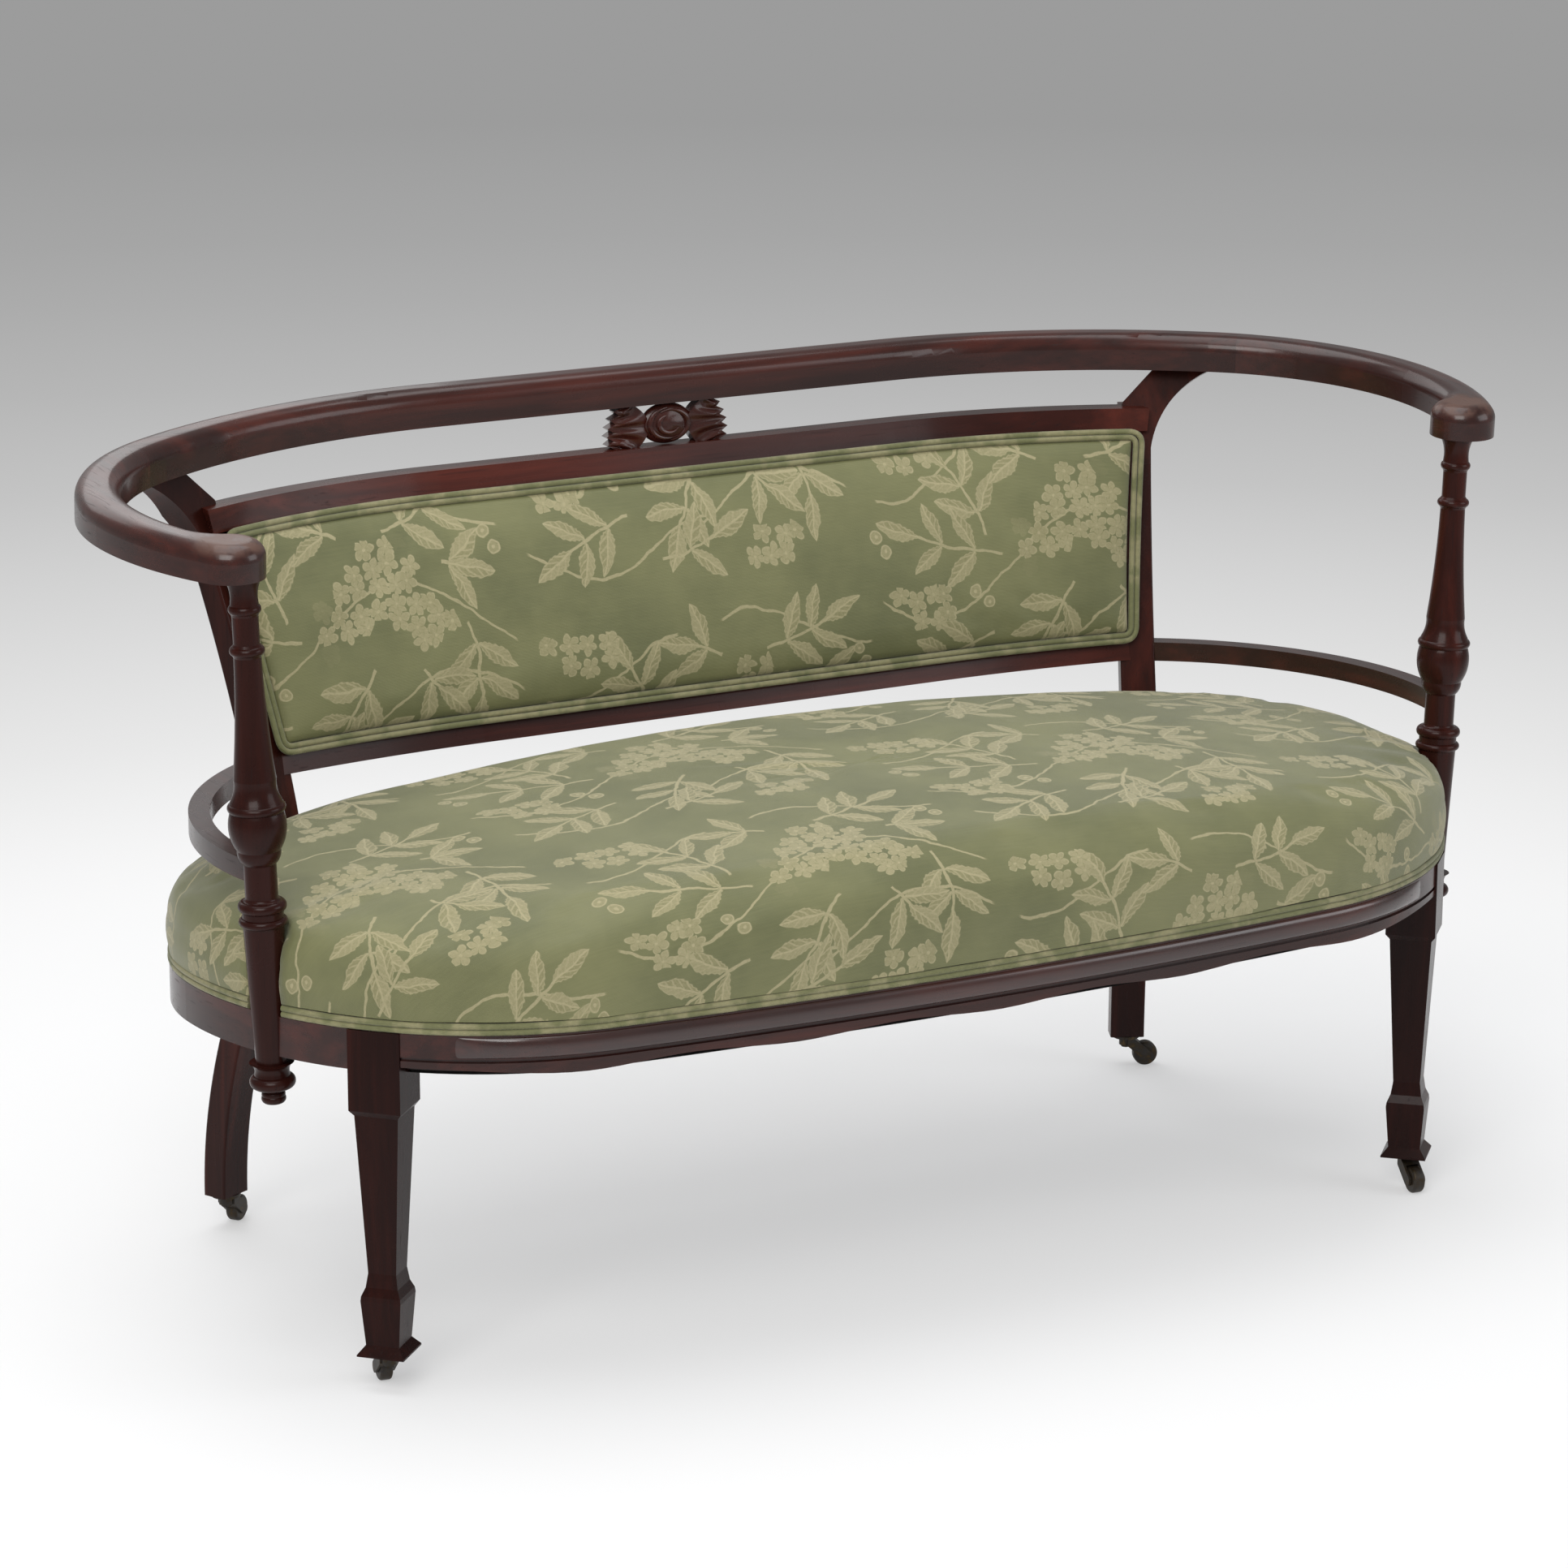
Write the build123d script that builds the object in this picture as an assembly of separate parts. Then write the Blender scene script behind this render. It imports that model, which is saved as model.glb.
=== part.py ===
from build123d import *
from math import atan2, ceil, cos, degrees, hypot, pi, radians, sin, sqrt
import os

# Settee in millimetres. +X runs to the right of someone facing it, +Y to its back, +Z up.
# The floor is at Z = 0.
# The origin lies on the floor under the middle of the overall box.

# Seat plan: a bowed front, round ends and a straight rear joined by tighter corners
SEAT_FRONT_Y = -310.0
SEAT_REAR_Y = 165.0
SEAT_END_X = 322.0
SEAT_END_Y = -10.0
SEAT_END_R = 285.0

# Seat rails
RAIL_BOTTOM_Z = 280.0
RAIL_SHOW_Z = 314.0
RAIL_TOP_Z = 336.0
RAIL_THICK = 40.0
RAIL_REBATE = 10.0
FRONT_LIP_THICK = 14.0
FRONT_WAVE = 5.0
FRONT_WAVE_LENGTH = 188.0
GROOVE_Z = 291.0
GROOVE_TALL = 3.0
GROOVE_DEEP = 2.5

# Top hoop: plan of its outer edge, width, and the planes of its top and underside
HOOP_BACK_Y = 313.0
HOOP_FLAT_X = 235.0
HOOP_SHOULDER_R = 578.0
HOOP_SHOULDER_TURN = 33.0
HOOP_END_R = 251.0
HOOP_ARM_R = 290.0
HOOP_ARM_SWEEP = 29.2
HOOP_WIDE = 38.0
HOOP_TOP_Z = 715.5
HOOP_TOP_RISE = 0.053
HOOP_UNDER_Z = 684.0
HOOP_UNDER_RISE = 0.0445
HOOP_ROUND = 14.0
HOOP_SCARF_AT = 50.0
PAD_R = 29.0
PAD_BLEND_R = 30.0
DOWEL_R = 5.0
DOWEL_LONG = 44.0

# Rear stiles: centre lines from foot to waist and from waist to top
STILE_TURN = 26.0
STILE_DEEP = 24.0
FOOT_Z = 32.0
FOOT_X = 477.6
FOOT_Y = 226.7
FOOT_WIDE = 33.0
WAIST_Z = 330.0
WAIST_X = 442.0
WAIST_Y = 158.0
WAIST_WIDE = 34.0
STILE_TOP_Z = 657.0
STILE_TOP_X = 481.8
STILE_TOP_Y = 241.4
STILE_TOP_WIDE = 30.0
STILE_EASE = 2.0
STILE_CURVE_X = 1.6
STILE_CURVE_Y = 1.25
STILE_STATION = 65.0
FLARE_R = 97.0
FLARE_INNER_RUN = 38.0
FLARE_TUCK = 2.5
FLARE_INSET = 3.0

# Back panel: top and bottom rails bowed in plan
TOP_RAIL_Z = 657.5
TOP_RAIL_TALL = 21.0
TOP_RAIL_Y = 274.0
TOP_RAIL_R = 540.0
BOTTOM_RAIL_Z = 427.0
BOTTOM_RAIL_TALL = 21.0
BOTTOM_RAIL_Y = 184.5
BOTTOM_RAIL_R = 1270.0
BACK_FLAT_X = 235.0
BACK_RAIL_DEEP = 22.0
PANEL_PROUD = 13.0
PANEL_CROWN = 9.0
PANEL_LAP = 12.8
PANEL_LAP_Z = 4.0
PANEL_EDGE_R = 6.0
CLOTH_THICK = 2.0

# Carved splat
SPLAT_HALF_WIDE = 62.0
SPLAT_THICK = 13.0
SPLAT_WAIST = 0.72
SPLAT_TEETH = 5
SPLAT_TOOTH = 4.0
BOSS_HALF_WIDE = 21.0
BOSS_HALF_TALL = 15.0
BOSS_PROUD = 4.0

# Arm posts, leaning outward, and the drops below them
POST_X = 584.3
POST_Y = -121.8
POST_REF_Z = 423.0
POST_LEAN = 0.035
POST_SHAFT_R = 13.0
POST_SHAFT_TOP_R = 16.8
POST_NECK_R = 13.5
POST_RING_R = 18.0
POST_LOW_RING_R = 20.0
POST_BULB_R = 23.0
POST_SLIM_R = 10.8
POST_BOTTOM_Z = 272.0
POST_RINGS_Z = 394.0
POST_RINGS_TOP_Z = 407.0
POST_BULB_Z = 483.0
POST_BEAD_Z = 615.0
POST_COLLAR_Z = 649.0
POST_TENON_R = 8.0
POST_TENON_LONG = 18.0
PENDANT_TIP_Z = 237.0
PENDANT_R = 18.5
PENDANT_SPIGOT_R = 6.0
PENDANT_SPIGOT_LONG = 16.0

# Lower arm rails
LOW_ARM_X = 312.4
LOW_ARM_Y = -63.0
LOW_ARM_R = 268.3
LOW_ARM_WIDE = 18.0
LOW_ARM_BOTTOM_Z = 425.0
LOW_ARM_TALL = 18.0

# Front legs, set square to the rail where it turns
LEG_AT = 46.0
LEG_BLOCK = 45.0
LEG_PROUD = 1.0
LEG_BLOCK_Z = 245.0
LEG_SHOULDER = 5.0
LEG_TAPER_TOP = 37.8
LEG_ANKLE_Z = 103.0
LEG_ANKLE = 24.5
SPADE_Z = 80.0
SPADE = 35.0
SPADE_FOOT = 29.0
FLANGE_TALL = 9.0
FLANGE = 41.0

# Upholstery
SEAT_CROWN_Z = 434.0
SEAT_CROWN_Y = -55.0
SEAT_CROWN_LONG_R = 3450.0
SEAT_CROWN_DEEP_R = 1800.0
SEAT_EDGE_R = 40.0
SEAT_BULGE = 3.0
NOTCH_GAP = 2.5
PIPING_R = 2.6
PIPING_STEP = 5.3
PIPING_PROUD = 1.5
PANEL_WELT_PROUD = 8.3
PIPING_GAP = 0.3
CANVAS_THICK = 2.0
CANVAS_GAP = 0.3
CANVAS_INSET = 18.0
CANVAS_RISE = 40.0
CANVAS_SLOPE = 45.0
WEB_THICK = 1.6
WEB_WIDE = 50.0
WEB_STEP = 80.0
WEB_INSET = 16.0
LONG_WEB_COUNT = 3
LONG_WEB_STEP = 115.0
LONG_WEB_Y = -75.0
BOTTOM_CLOTH_INSET = 19.0
BOTTOM_CLOTH_THICK = 0.8
SPRING_WIRE_R = 1.9
SPRING_R = 30.0
SPRING_TURNS = 4
SPRING_COLUMNS = 5

# Corner blocks
BLOCK_LONG = 62.0
BLOCK_DEEP = 24.0
BLOCK_TALL = 38.0
BLOCK_DROP = 10.0
BLOCK_LAP = 6.0
SCREW_R = 2.2
SCREW_HEAD_R = 4.2
SCREW_HEAD_TALL = 2.4
BLOCK_SCREW_LONG = 36.0

# Castors
PLATE_R = 13.0
PLATE_THICK = 2.6
SPINDLE_R = 3.0
SPINDLE_HEAD_R = 4.6
SPINDLE_HEAD_TALL = 1.6
HUB_R = 6.6
HUB_TALL = 7.5
RUN_CLEAR = 0.05
SIDE_CLEAR = 0.4
TRAIL = 19.0
WHEEL_R = 12.0
WHEEL_WIDE = 11.0
WHEEL_ROUND = 2.6
AXLE_R = 2.0
CHEEK_THICK = 2.4
CHEEK_R = 5.2
WHEEL_ROOM = 0.9
PLATE_SCREW_R = 1.3
PLATE_SCREW_HEAD_R = 2.3
PLATE_SCREW_HEAD_TALL = 1.2
PLATE_SCREW_LONG = 14.0
PLATE_SCREW_PCD_R = 9.3
PLATE_SCREWS = 3
CASTOR_HEADING = {"left_front": 80.0, "right_front": -99.0, "left_rear": 39.0, "right_rear": -20.0}

# Values that follow from the ones above
SEAT_REAR_R = SEAT_REAR_Y - SEAT_END_Y
SEAT_REAR_X = SEAT_END_X + SEAT_END_R - SEAT_REAR_R
BOW_DROP = SEAT_END_Y - SEAT_FRONT_Y
BOW_R = (SEAT_END_X**2 + BOW_DROP**2 - SEAT_END_R**2) / (2 * (BOW_DROP - SEAT_END_R))
COVER_BOTTOM_Z = RAIL_SHOW_Z + 2 * PIPING_STEP
PANEL_WELT = 2 * PIPING_STEP
WIDE = 3000.0


def on_circle(centre, radius, at):
    """Point of a circle in plan, with its angle in degrees from +X."""
    return (centre[0] + radius * cos(radians(at)), centre[1] + radius * sin(radians(at)))


def plan_arc(centre, radius, start, end):
    """Arc of a circle in plan between two angles in degrees."""
    middle = (start + end) / 2
    return ThreePointArc(*(on_circle(centre, radius, at) for at in (start, middle, end)))


def flip(shape):
    """The shape's other hand, across the middle of the settee."""
    return mirror(shape, about=Plane.YZ)


def prism(face, low, high):
    """Solid standing on a plan face between two heights."""
    return extrude(Pos(0, 0, low) * face, amount=high - low)


def joined(edges):
    """Face inside a chain of edges that lie in one plane."""
    return make_face(edges)


def both_hands(edges):
    """A right-hand chain of plan edges with its mirrored twins."""
    return edges + [flip(edge) for edge in edges]


def seat_plan(inset):
    """Plan of the oval seat, drawn in from the outer face of the rails."""
    bow_centre = (0, SEAT_FRONT_Y + BOW_R)
    end_centre = (SEAT_END_X, SEAT_END_Y)
    turn = degrees(atan2(SEAT_END_Y - bow_centre[1], SEAT_END_X))
    rear_y = SEAT_REAR_Y - inset
    edges = both_hands([
        plan_arc(bow_centre, BOW_R - inset, -90, turn),
        plan_arc(end_centre, SEAT_END_R - inset, turn, 0),
        plan_arc((SEAT_REAR_X, SEAT_END_Y), SEAT_REAR_R - inset, 0, 90),
    ])
    edges.append(Line((SEAT_REAR_X, rear_y), (-SEAT_REAR_X, rear_y)))
    return joined(edges)


# Top hoop
SHOULDER_CENTRE = (HOOP_FLAT_X, HOOP_BACK_Y - HOOP_SHOULDER_R)
END_CENTRE = on_circle(SHOULDER_CENTRE, HOOP_SHOULDER_R - HOOP_END_R, 90 - HOOP_SHOULDER_TURN)
ARM_CENTRE = (END_CENTRE[0] + HOOP_END_R - HOOP_ARM_R, END_CENTRE[1])
PAD_CENTRE = on_circle(ARM_CENTRE, HOOP_ARM_R - PAD_R, -HOOP_ARM_SWEEP)


def hoop_edges(inset):
    """Right half of the hoop's plan at a depth inside its outer edge."""
    back_y = HOOP_BACK_Y - inset
    return [
        Line((0, back_y), (HOOP_FLAT_X, back_y)),
        plan_arc(SHOULDER_CENTRE, HOOP_SHOULDER_R - inset, 90, 90 - HOOP_SHOULDER_TURN),
        plan_arc(END_CENTRE, HOOP_END_R - inset, 90 - HOOP_SHOULDER_TURN, 0),
        plan_arc(ARM_CENTRE, HOOP_ARM_R - inset, 0, -HOOP_ARM_SWEEP),
    ]


def hoop_plan():
    """Plan of the whole hoop with a round pad at each end."""
    ends = [on_circle(ARM_CENTRE, HOOP_ARM_R - inset, -HOOP_ARM_SWEEP) for inset in (0, HOOP_WIDE)]
    end_line = Line(*ends)
    band = joined(both_hands(hoop_edges(0) + hoop_edges(HOOP_WIDE) + [end_line]))
    plan = band + [Pos(side * PAD_CENTRE[0], PAD_CENTRE[1]) * Circle(PAD_R) for side in (-1, 1)]
    inner_r = HOOP_ARM_R - HOOP_WIDE

    def at_pad_root(vertex):
        from_pad = hypot(abs(vertex.X) - PAD_CENTRE[0], vertex.Y - PAD_CENTRE[1])
        from_arm = hypot(abs(vertex.X) - ARM_CENTRE[0], vertex.Y - ARM_CENTRE[1])
        return abs(from_pad - PAD_R) < 0.01 and abs(from_arm - inner_r) < 0.01

    return fillet(plan.vertices().filter_by(at_pad_root), radius=PAD_BLEND_R)


def above_hoop_underside():
    """Half space over the plane of the hoop's underside."""
    under = Plane(origin=(0, 0, HOOP_UNDER_Z), x_dir=(1, 0, 0), z_dir=(0, -HOOP_UNDER_RISE, 1))
    return under * Box(WIDE, WIDE, WIDE, align=(Align.CENTER, Align.CENTER, Align.MIN))


def inside_hoop(inset):
    """Space within the hoop's outer edge, drawn in by an inset."""
    end = on_circle(ARM_CENTRE, HOOP_ARM_R - inset, -HOOP_ARM_SWEEP)
    edges = both_hands(hoop_edges(inset)) + [Line(end, (-end[0], end[1]))]
    return prism(joined(edges), 0, WIDE)


def arm_region():
    """Space that holds the right arm rail, beyond the scarf joint."""
    far = on_circle(END_CENTRE, WIDE, HOOP_SCARF_AT)
    corners = [END_CENTRE, far, (far[0], -WIDE), (END_CENTRE[0], -WIDE)]
    return prism(joined(Polyline(*corners, close=True)), 0, WIDE)


def make_hoop():
    """Hoop solid with its rounded top, before the scarf joints are cut."""
    top = Plane(origin=(0, 0, HOOP_TOP_Z), x_dir=(1, 0, 0), z_dir=(0, -HOOP_TOP_RISE, 1))
    body = extrude(hoop_plan(), amount=-2 * HOOP_WIDE)
    body = fillet(body.faces().sort_by(Axis.Z)[-1].edges(), radius=HOOP_ROUND)
    return (top * body) & above_hoop_underside()


def scarf_dowel():
    """Dowel across the right scarf joint, at the middle of the section."""
    middle = on_circle(END_CENTRE, HOOP_END_R - HOOP_WIDE / 2, HOOP_SCARF_AT)
    top_z = HOOP_TOP_Z + HOOP_TOP_RISE * middle[1]
    under_z = HOOP_UNDER_Z + HOOP_UNDER_RISE * middle[1]
    along = radians(HOOP_SCARF_AT - 90)
    seat = Plane(origin=(*middle, (top_z + under_z) / 2), z_dir=(cos(along), sin(along), 0))
    return seat * Cylinder(DOWEL_R, DOWEL_LONG)


# Rear stiles
def stile_centre(z):
    """Centre of the right stile's section at a height."""
    if z < WAIST_Z:
        down = sin(pi / 2 * (WAIST_Z - z) / (WAIST_Z - FOOT_Z))
        return (WAIST_X + (FOOT_X - WAIST_X) * down, WAIST_Y + (FOOT_Y - WAIST_Y) * down)
    up = (z - WAIST_Z) / (STILE_TOP_Z - WAIST_Z)
    x = WAIST_X + (STILE_TOP_X - WAIST_X) * up**STILE_CURVE_X
    y = WAIST_Y + (STILE_TOP_Y - WAIST_Y) * up**STILE_CURVE_Y
    return (x, y)


def stile_width(z):
    """Width of the stile's section at a height."""
    if z < WAIST_Z:
        return WAIST_WIDE + (FOOT_WIDE - WAIST_WIDE) * (WAIST_Z - z) / (WAIST_Z - FOOT_Z)
    return WAIST_WIDE + (STILE_TOP_WIDE - WAIST_WIDE) * (z - WAIST_Z) / (STILE_TOP_Z - WAIST_Z)


def stile_bar(low, high, grow):
    """Bar of the right stile between two heights on both sides of its waist, grown all round."""
    return stile_run(low, WAIST_Z, grow) + stile_run(WAIST_Z, high, grow)


def stile_run(low, high, grow):
    """Curved run of the right stile on one side of its waist."""
    steps = ceil((high - low) / STILE_STATION)
    sections = []
    for step in range(steps + 1):
        z = low + (high - low) * step / steps
        wide = stile_width(z) + 2 * grow
        section = RectangleRounded(wide, STILE_DEEP + 2 * grow, STILE_EASE + grow)
        sections.append(Pos(*stile_centre(z), z) * Rot(0, 0, -STILE_TURN) * section)
    return loft(sections)


def flare_plane():
    """Plane of the bracket at the stile's top, across its rake."""
    turn = radians(STILE_TURN)
    across = Vector(cos(turn), -sin(turn), 0)
    below = STILE_TOP_Z - FLARE_R
    low_x, low_y = stile_centre(below)
    rise = Vector(STILE_TOP_X - low_x, STILE_TOP_Y - low_y, FLARE_R)
    return Plane(origin=(STILE_TOP_X, STILE_TOP_Y, STILE_TOP_Z), x_dir=across, z_dir=across.cross(rise))


def make_stile():
    """Right stile: sabre leg, raked upright and the bracket under the hoop."""
    half = STILE_TOP_WIDE / 2
    root = half - FLARE_TUCK
    reach = root + FLARE_R
    under_z = HOOP_UNDER_Z + HOOP_UNDER_RISE * STILE_TOP_Y
    rise = under_z - STILE_TOP_Z
    top = rise + HOOP_WIDE / 2
    spring = rise - FLARE_R
    bend = FLARE_R * (1 - sqrt(0.5))
    outline = [
        Line((-root, spring), (-root, 0)),
        Line((-root, 0), (FLARE_INNER_RUN - half, rise)),
        Line((FLARE_INNER_RUN - half, rise), (FLARE_INNER_RUN - half, top)),
        Line((FLARE_INNER_RUN - half, top), (reach, top)),
        Line((reach, top), (reach, rise)),
        ThreePointArc((reach, rise), (root + bend, rise - bend), (root, spring)),
        Line((root, spring), (-root, spring)),
    ]
    bracket = extrude(flare_plane() * joined(outline), amount=STILE_DEEP / 2, both=True)
    bar = stile_bar(FOOT_Z, STILE_TOP_Z, 0)
    return bar + ((bracket - above_hoop_underside()) & inside_hoop(FLARE_INSET))


# Back panel
def bow_edges(y, radius, half):
    """Bowed line in plan: straight in the middle, curving forward at both ends."""
    sweep = degrees(atan2(half - BACK_FLAT_X, sqrt(radius**2 - (half - BACK_FLAT_X)**2)))
    curve = plan_arc((BACK_FLAT_X, y - radius), radius, 90, 90 - sweep)
    return [flip(curve), Line((-BACK_FLAT_X, y), (BACK_FLAT_X, y)), curve]


def bow_end(y, radius, half):
    """Right end of such a line."""
    return (half, y - radius + sqrt(radius**2 - (half - BACK_FLAT_X)**2))


def bow_strip(front, back):
    """Face between two bowed lines, each given by depth, radius and half width."""
    ends = [bow_end(*front), bow_end(*back)]
    sides = [Line(*ends), Line(*((-x, y) for x, y in ends))]
    return joined(bow_edges(*front) + bow_edges(*back) + sides)


def panel_line(z):
    """Depth and radius of the panel frame's front at a height."""
    share = (z - BOTTOM_RAIL_Z) / (TOP_RAIL_Z - BOTTOM_RAIL_Z)
    y = BOTTOM_RAIL_Y + (TOP_RAIL_Y - BOTTOM_RAIL_Y) * share
    radius = 1 / (1 / BOTTOM_RAIL_R + (1 / TOP_RAIL_R - 1 / BOTTOM_RAIL_R) * share)
    return y, radius


def raked_sheet(front, back, low, high, half_at):
    """Raked and bowed sheet between two depths behind the panel frame's front."""
    sections = []
    for z in (low, (low + high) / 2, high):
        y, radius = panel_line(z)
        half = half_at(z)
        strip = bow_strip((y + front, radius + front, half), (y + back, radius + back, half))
        sections.append(Pos(0, 0, z) * strip)
    return loft(sections)


def back_rail(low, tall):
    """Bowed rail that runs from the middle of one stile to the other."""
    return raked_sheet(0, BACK_RAIL_DEEP, low, low + tall, lambda z: stile_centre(z)[0])


PAD_LOW_Z = BOTTOM_RAIL_Z + BOTTOM_RAIL_TALL - PANEL_LAP_Z
PAD_HIGH_Z = TOP_RAIL_Z - TOP_RAIL_TALL + PANEL_LAP_Z


def panel_half(z):
    """Half width of the upholstered panel, lapped on the fronts of the stiles."""
    turn = radians(STILE_TURN)
    inner = stile_centre(z)[0] - cos(turn) * stile_width(z) / 2 - sin(turn) * STILE_DEEP / 2
    return inner + PANEL_LAP


def pillow(inset, back):
    """Crowned pad on the front of the panel frame, drawn in by an inset and reaching behind it."""
    low, high = PAD_LOW_Z + PANEL_WELT + inset, PAD_HIGH_Z - PANEL_WELT - inset
    edge = PANEL_PROUD - PANEL_EDGE_R
    crown = PANEL_PROUD + PANEL_CROWN
    sections = []
    for share, proud in ((0, edge), (0.06, PANEL_PROUD), (0.5, crown), (0.94, PANEL_PROUD), (1, edge)):
        z = low + (high - low) * share
        y, radius = panel_line(z)
        half = panel_half(z) - PANEL_WELT - inset
        front = y - proud + inset
        strip = bow_strip((front, radius - proud, half), (y + back, radius + back, half))
        sections.append(Pos(0, 0, z) * strip)
    return loft(sections)


def welt_run(z, y, radius, half):
    """Tube along a bowed edge of the panel."""
    path = Wire([edge for curve in bow_edges(y, radius, half) for edge in curve.edges()])
    tube = sweep(Plane(origin=path @ 0, z_dir=path % 0) * Circle(PIPING_R), path=path)
    return Pos(0, 0, z) * tube


def make_back_piping():
    """Runs of the double welt round the edge of the back panel."""
    runs = []
    for lane in (0, 1):
        inset = PIPING_R + lane * PIPING_STEP
        corners = []
        for z in (PAD_LOW_Z + inset, PAD_HIGH_Z - inset):
            y, radius = panel_line(z)
            line = (y - PANEL_WELT_PROUD, radius - PANEL_WELT_PROUD, panel_half(z) - inset)
            runs.append(welt_run(z, *line))
            corners.append(Vector(*bow_end(*line), z))
        rise = corners[1] - corners[0]
        start = corners[0] + rise.normalized() * PIPING_STEP
        long = rise.length - 2 * PIPING_STEP
        upright = Plane(origin=start, z_dir=rise) * extrude(Circle(PIPING_R), long)
        runs += pair([upright])
    return runs


# Carved splat
def leaf_edge(side):
    """Serrated outer edge of one leaf, from its foot to its tip."""
    low, high = TOP_RAIL_Z, HOOP_UNDER_Z + HOOP_UNDER_RISE * (TOP_RAIL_Y + SPLAT_THICK)
    points = []
    for step in range(2 * SPLAT_TEETH + 1):
        share = step / (2 * SPLAT_TEETH)
        swell = SPLAT_WAIST + (1 - SPLAT_WAIST) * sin(pi * min(1, 0.25 + share * 0.75))
        tooth = SPLAT_TOOTH * (step % 2)
        x = SPLAT_HALF_WIDE * swell - SPLAT_TOOTH + tooth
        points.append((side * x, low + (high - low) * share))
    return points


def make_splat():
    """Two serrated leaves that flank an oval boss, pierced by four openings."""
    outline = leaf_edge(-1) + leaf_edge(1)[::-1]
    low, high = outline[0][1], outline[2 * SPLAT_TEETH][1]
    middle = (low + high) / 2
    back_y = TOP_RAIL_Y + (BACK_RAIL_DEEP + SPLAT_THICK) / 2
    front = Plane(origin=(0, back_y, 0), x_dir=(1, 0, 0), z_dir=(0, -1, 0))
    plate = extrude(front * joined(Polyline(*outline, close=True)), SPLAT_THICK)
    oval = Pos(0, middle) * Ellipse(BOSS_HALF_WIDE, BOSS_HALF_TALL)
    boss = extrude(front * oval, SPLAT_THICK + BOSS_PROUD)
    gap_x = BOSS_HALF_WIDE + SPLAT_TOOTH
    gap_z = (high - low) / 2 - SPLAT_TOOTH
    for side_x in (-1, 1):
        for side_z in (-1, 1):
            hole = Polyline(
                (side_x * gap_x * 0.62, middle + side_z * gap_z),
                (side_x * gap_x * 1.25, middle + side_z * gap_z),
                (side_x * gap_x * 0.98, middle + side_z * gap_z * 0.4),
                close=True,
            )
            plate -= extrude(front * joined(hole), SPLAT_THICK)
    return (plate + boss) - above_hoop_underside()


# Turned work
def post_place():
    """Frame of the right post's leaning axis, at its reference height."""
    return Plane(origin=(POST_X, POST_Y, POST_REF_Z), x_dir=(1, 0, 0), z_dir=(POST_LEAN, 0, 1))


def turned(start, moves):
    """Solid turned about Z from (radius, height) moves, each with the bulge of its curve."""
    edges = [Line((0, 0, start[1]), (start[0], 0, start[1]))]
    at = start
    for radius, z, bulge in moves:
        ends = ((at[0], 0, at[1]), (radius, 0, z))
        if bulge:
            edges.append(lathe_curve(*ends, bulge))
        else:
            edges.append(Line(*ends))
        at = (radius, z)
    edges += [Line((at[0], 0, at[1]), (0, 0, at[1])), Line((0, 0, at[1]), (0, 0, start[1]))]
    return revolve(joined(edges), axis=Axis.Z)


def lathe_curve(start, end, bulge):
    """Arc of a turned profile that bulges outward, or inward where the bulge is negative."""
    run, rise = end[0] - start[0], end[2] - start[2]
    length = hypot(run, rise)
    radius = (start[0] + end[0]) / 2 + bulge * rise / length
    z = (start[2] + end[2]) / 2 - bulge * run / length
    return ThreePointArc(start, (radius, 0, z), end)


def ring(radius, low, high, bulge):
    """Moves of a bead on a turned piece."""
    return [(radius, low, 0), (radius, high, bulge)]


def make_post():
    """Right arm post with its rings, bulb and tenon."""
    base = POST_BOTTOM_Z - POST_REF_Z
    low, high = POST_RINGS_Z - POST_REF_Z, POST_RINGS_TOP_Z - POST_REF_Z
    bulb = POST_BULB_Z - POST_REF_Z
    bead, collar = POST_BEAD_Z - POST_REF_Z, POST_COLLAR_Z - POST_REF_Z
    top = HOOP_UNDER_Z + HOOP_UNDER_RISE * POST_Y - POST_REF_Z
    neck = POST_NECK_R
    slim = POST_SLIM_R
    moves = [(POST_SHAFT_TOP_R, low - 7, 0)]
    moves += ring(POST_LOW_RING_R - 3, low - 5, low + 2, 3)
    moves += ring(POST_LOW_RING_R - 3, high - 6, high + 3, 3)
    moves += [(neck, high + 6, -1), (neck, high + 34, 0), (POST_RING_R, high + 46, 1.5)]
    moves += [(POST_BULB_R - 0.6, bulb, 3.2)]
    moves += ring(POST_BULB_R - 1.2, bulb + 2, bulb + 9, 2)
    moves += [(POST_BULB_R - 2, bulb + 11, 0), (POST_RING_R - 0.5, bulb + 29, -1.5)]
    moves += [(slim + 0.4, bead - 2, -1.2)]
    moves += ring(slim + 1.4, bead, bead + 7, 2.2)
    moves += [(slim, bead + 9, 0), (slim, collar - 2, 0)]
    moves += ring(slim + 0.8, collar, collar + 7, 1.8)
    moves += [(slim + 0.6, collar + 9, 0), (slim + 3.6, top - 2, -1.4), (slim + 3.6, top + PAD_R, 0)]
    body = (post_place() * turned((POST_SHAFT_R, base), moves)) - above_hoop_underside()
    return (body + post_tenon()) - pendant_spigot()


def post_tenon():
    """Round tenon that stands in the arm pad."""
    top = HOOP_UNDER_Z + HOOP_UNDER_RISE * POST_Y - POST_REF_Z
    long = POST_TENON_LONG + POST_TENON_R
    return post_place() * Pos(0, 0, top - POST_TENON_R) * extrude(Circle(POST_TENON_R), long)


def pendant_spigot():
    """Spigot that holds the drop in the foot of the post."""
    base = Pos(0, 0, POST_BOTTOM_Z - POST_REF_Z)
    return post_place() * base * extrude(Circle(PENDANT_SPIGOT_R), PENDANT_SPIGOT_LONG)


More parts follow.
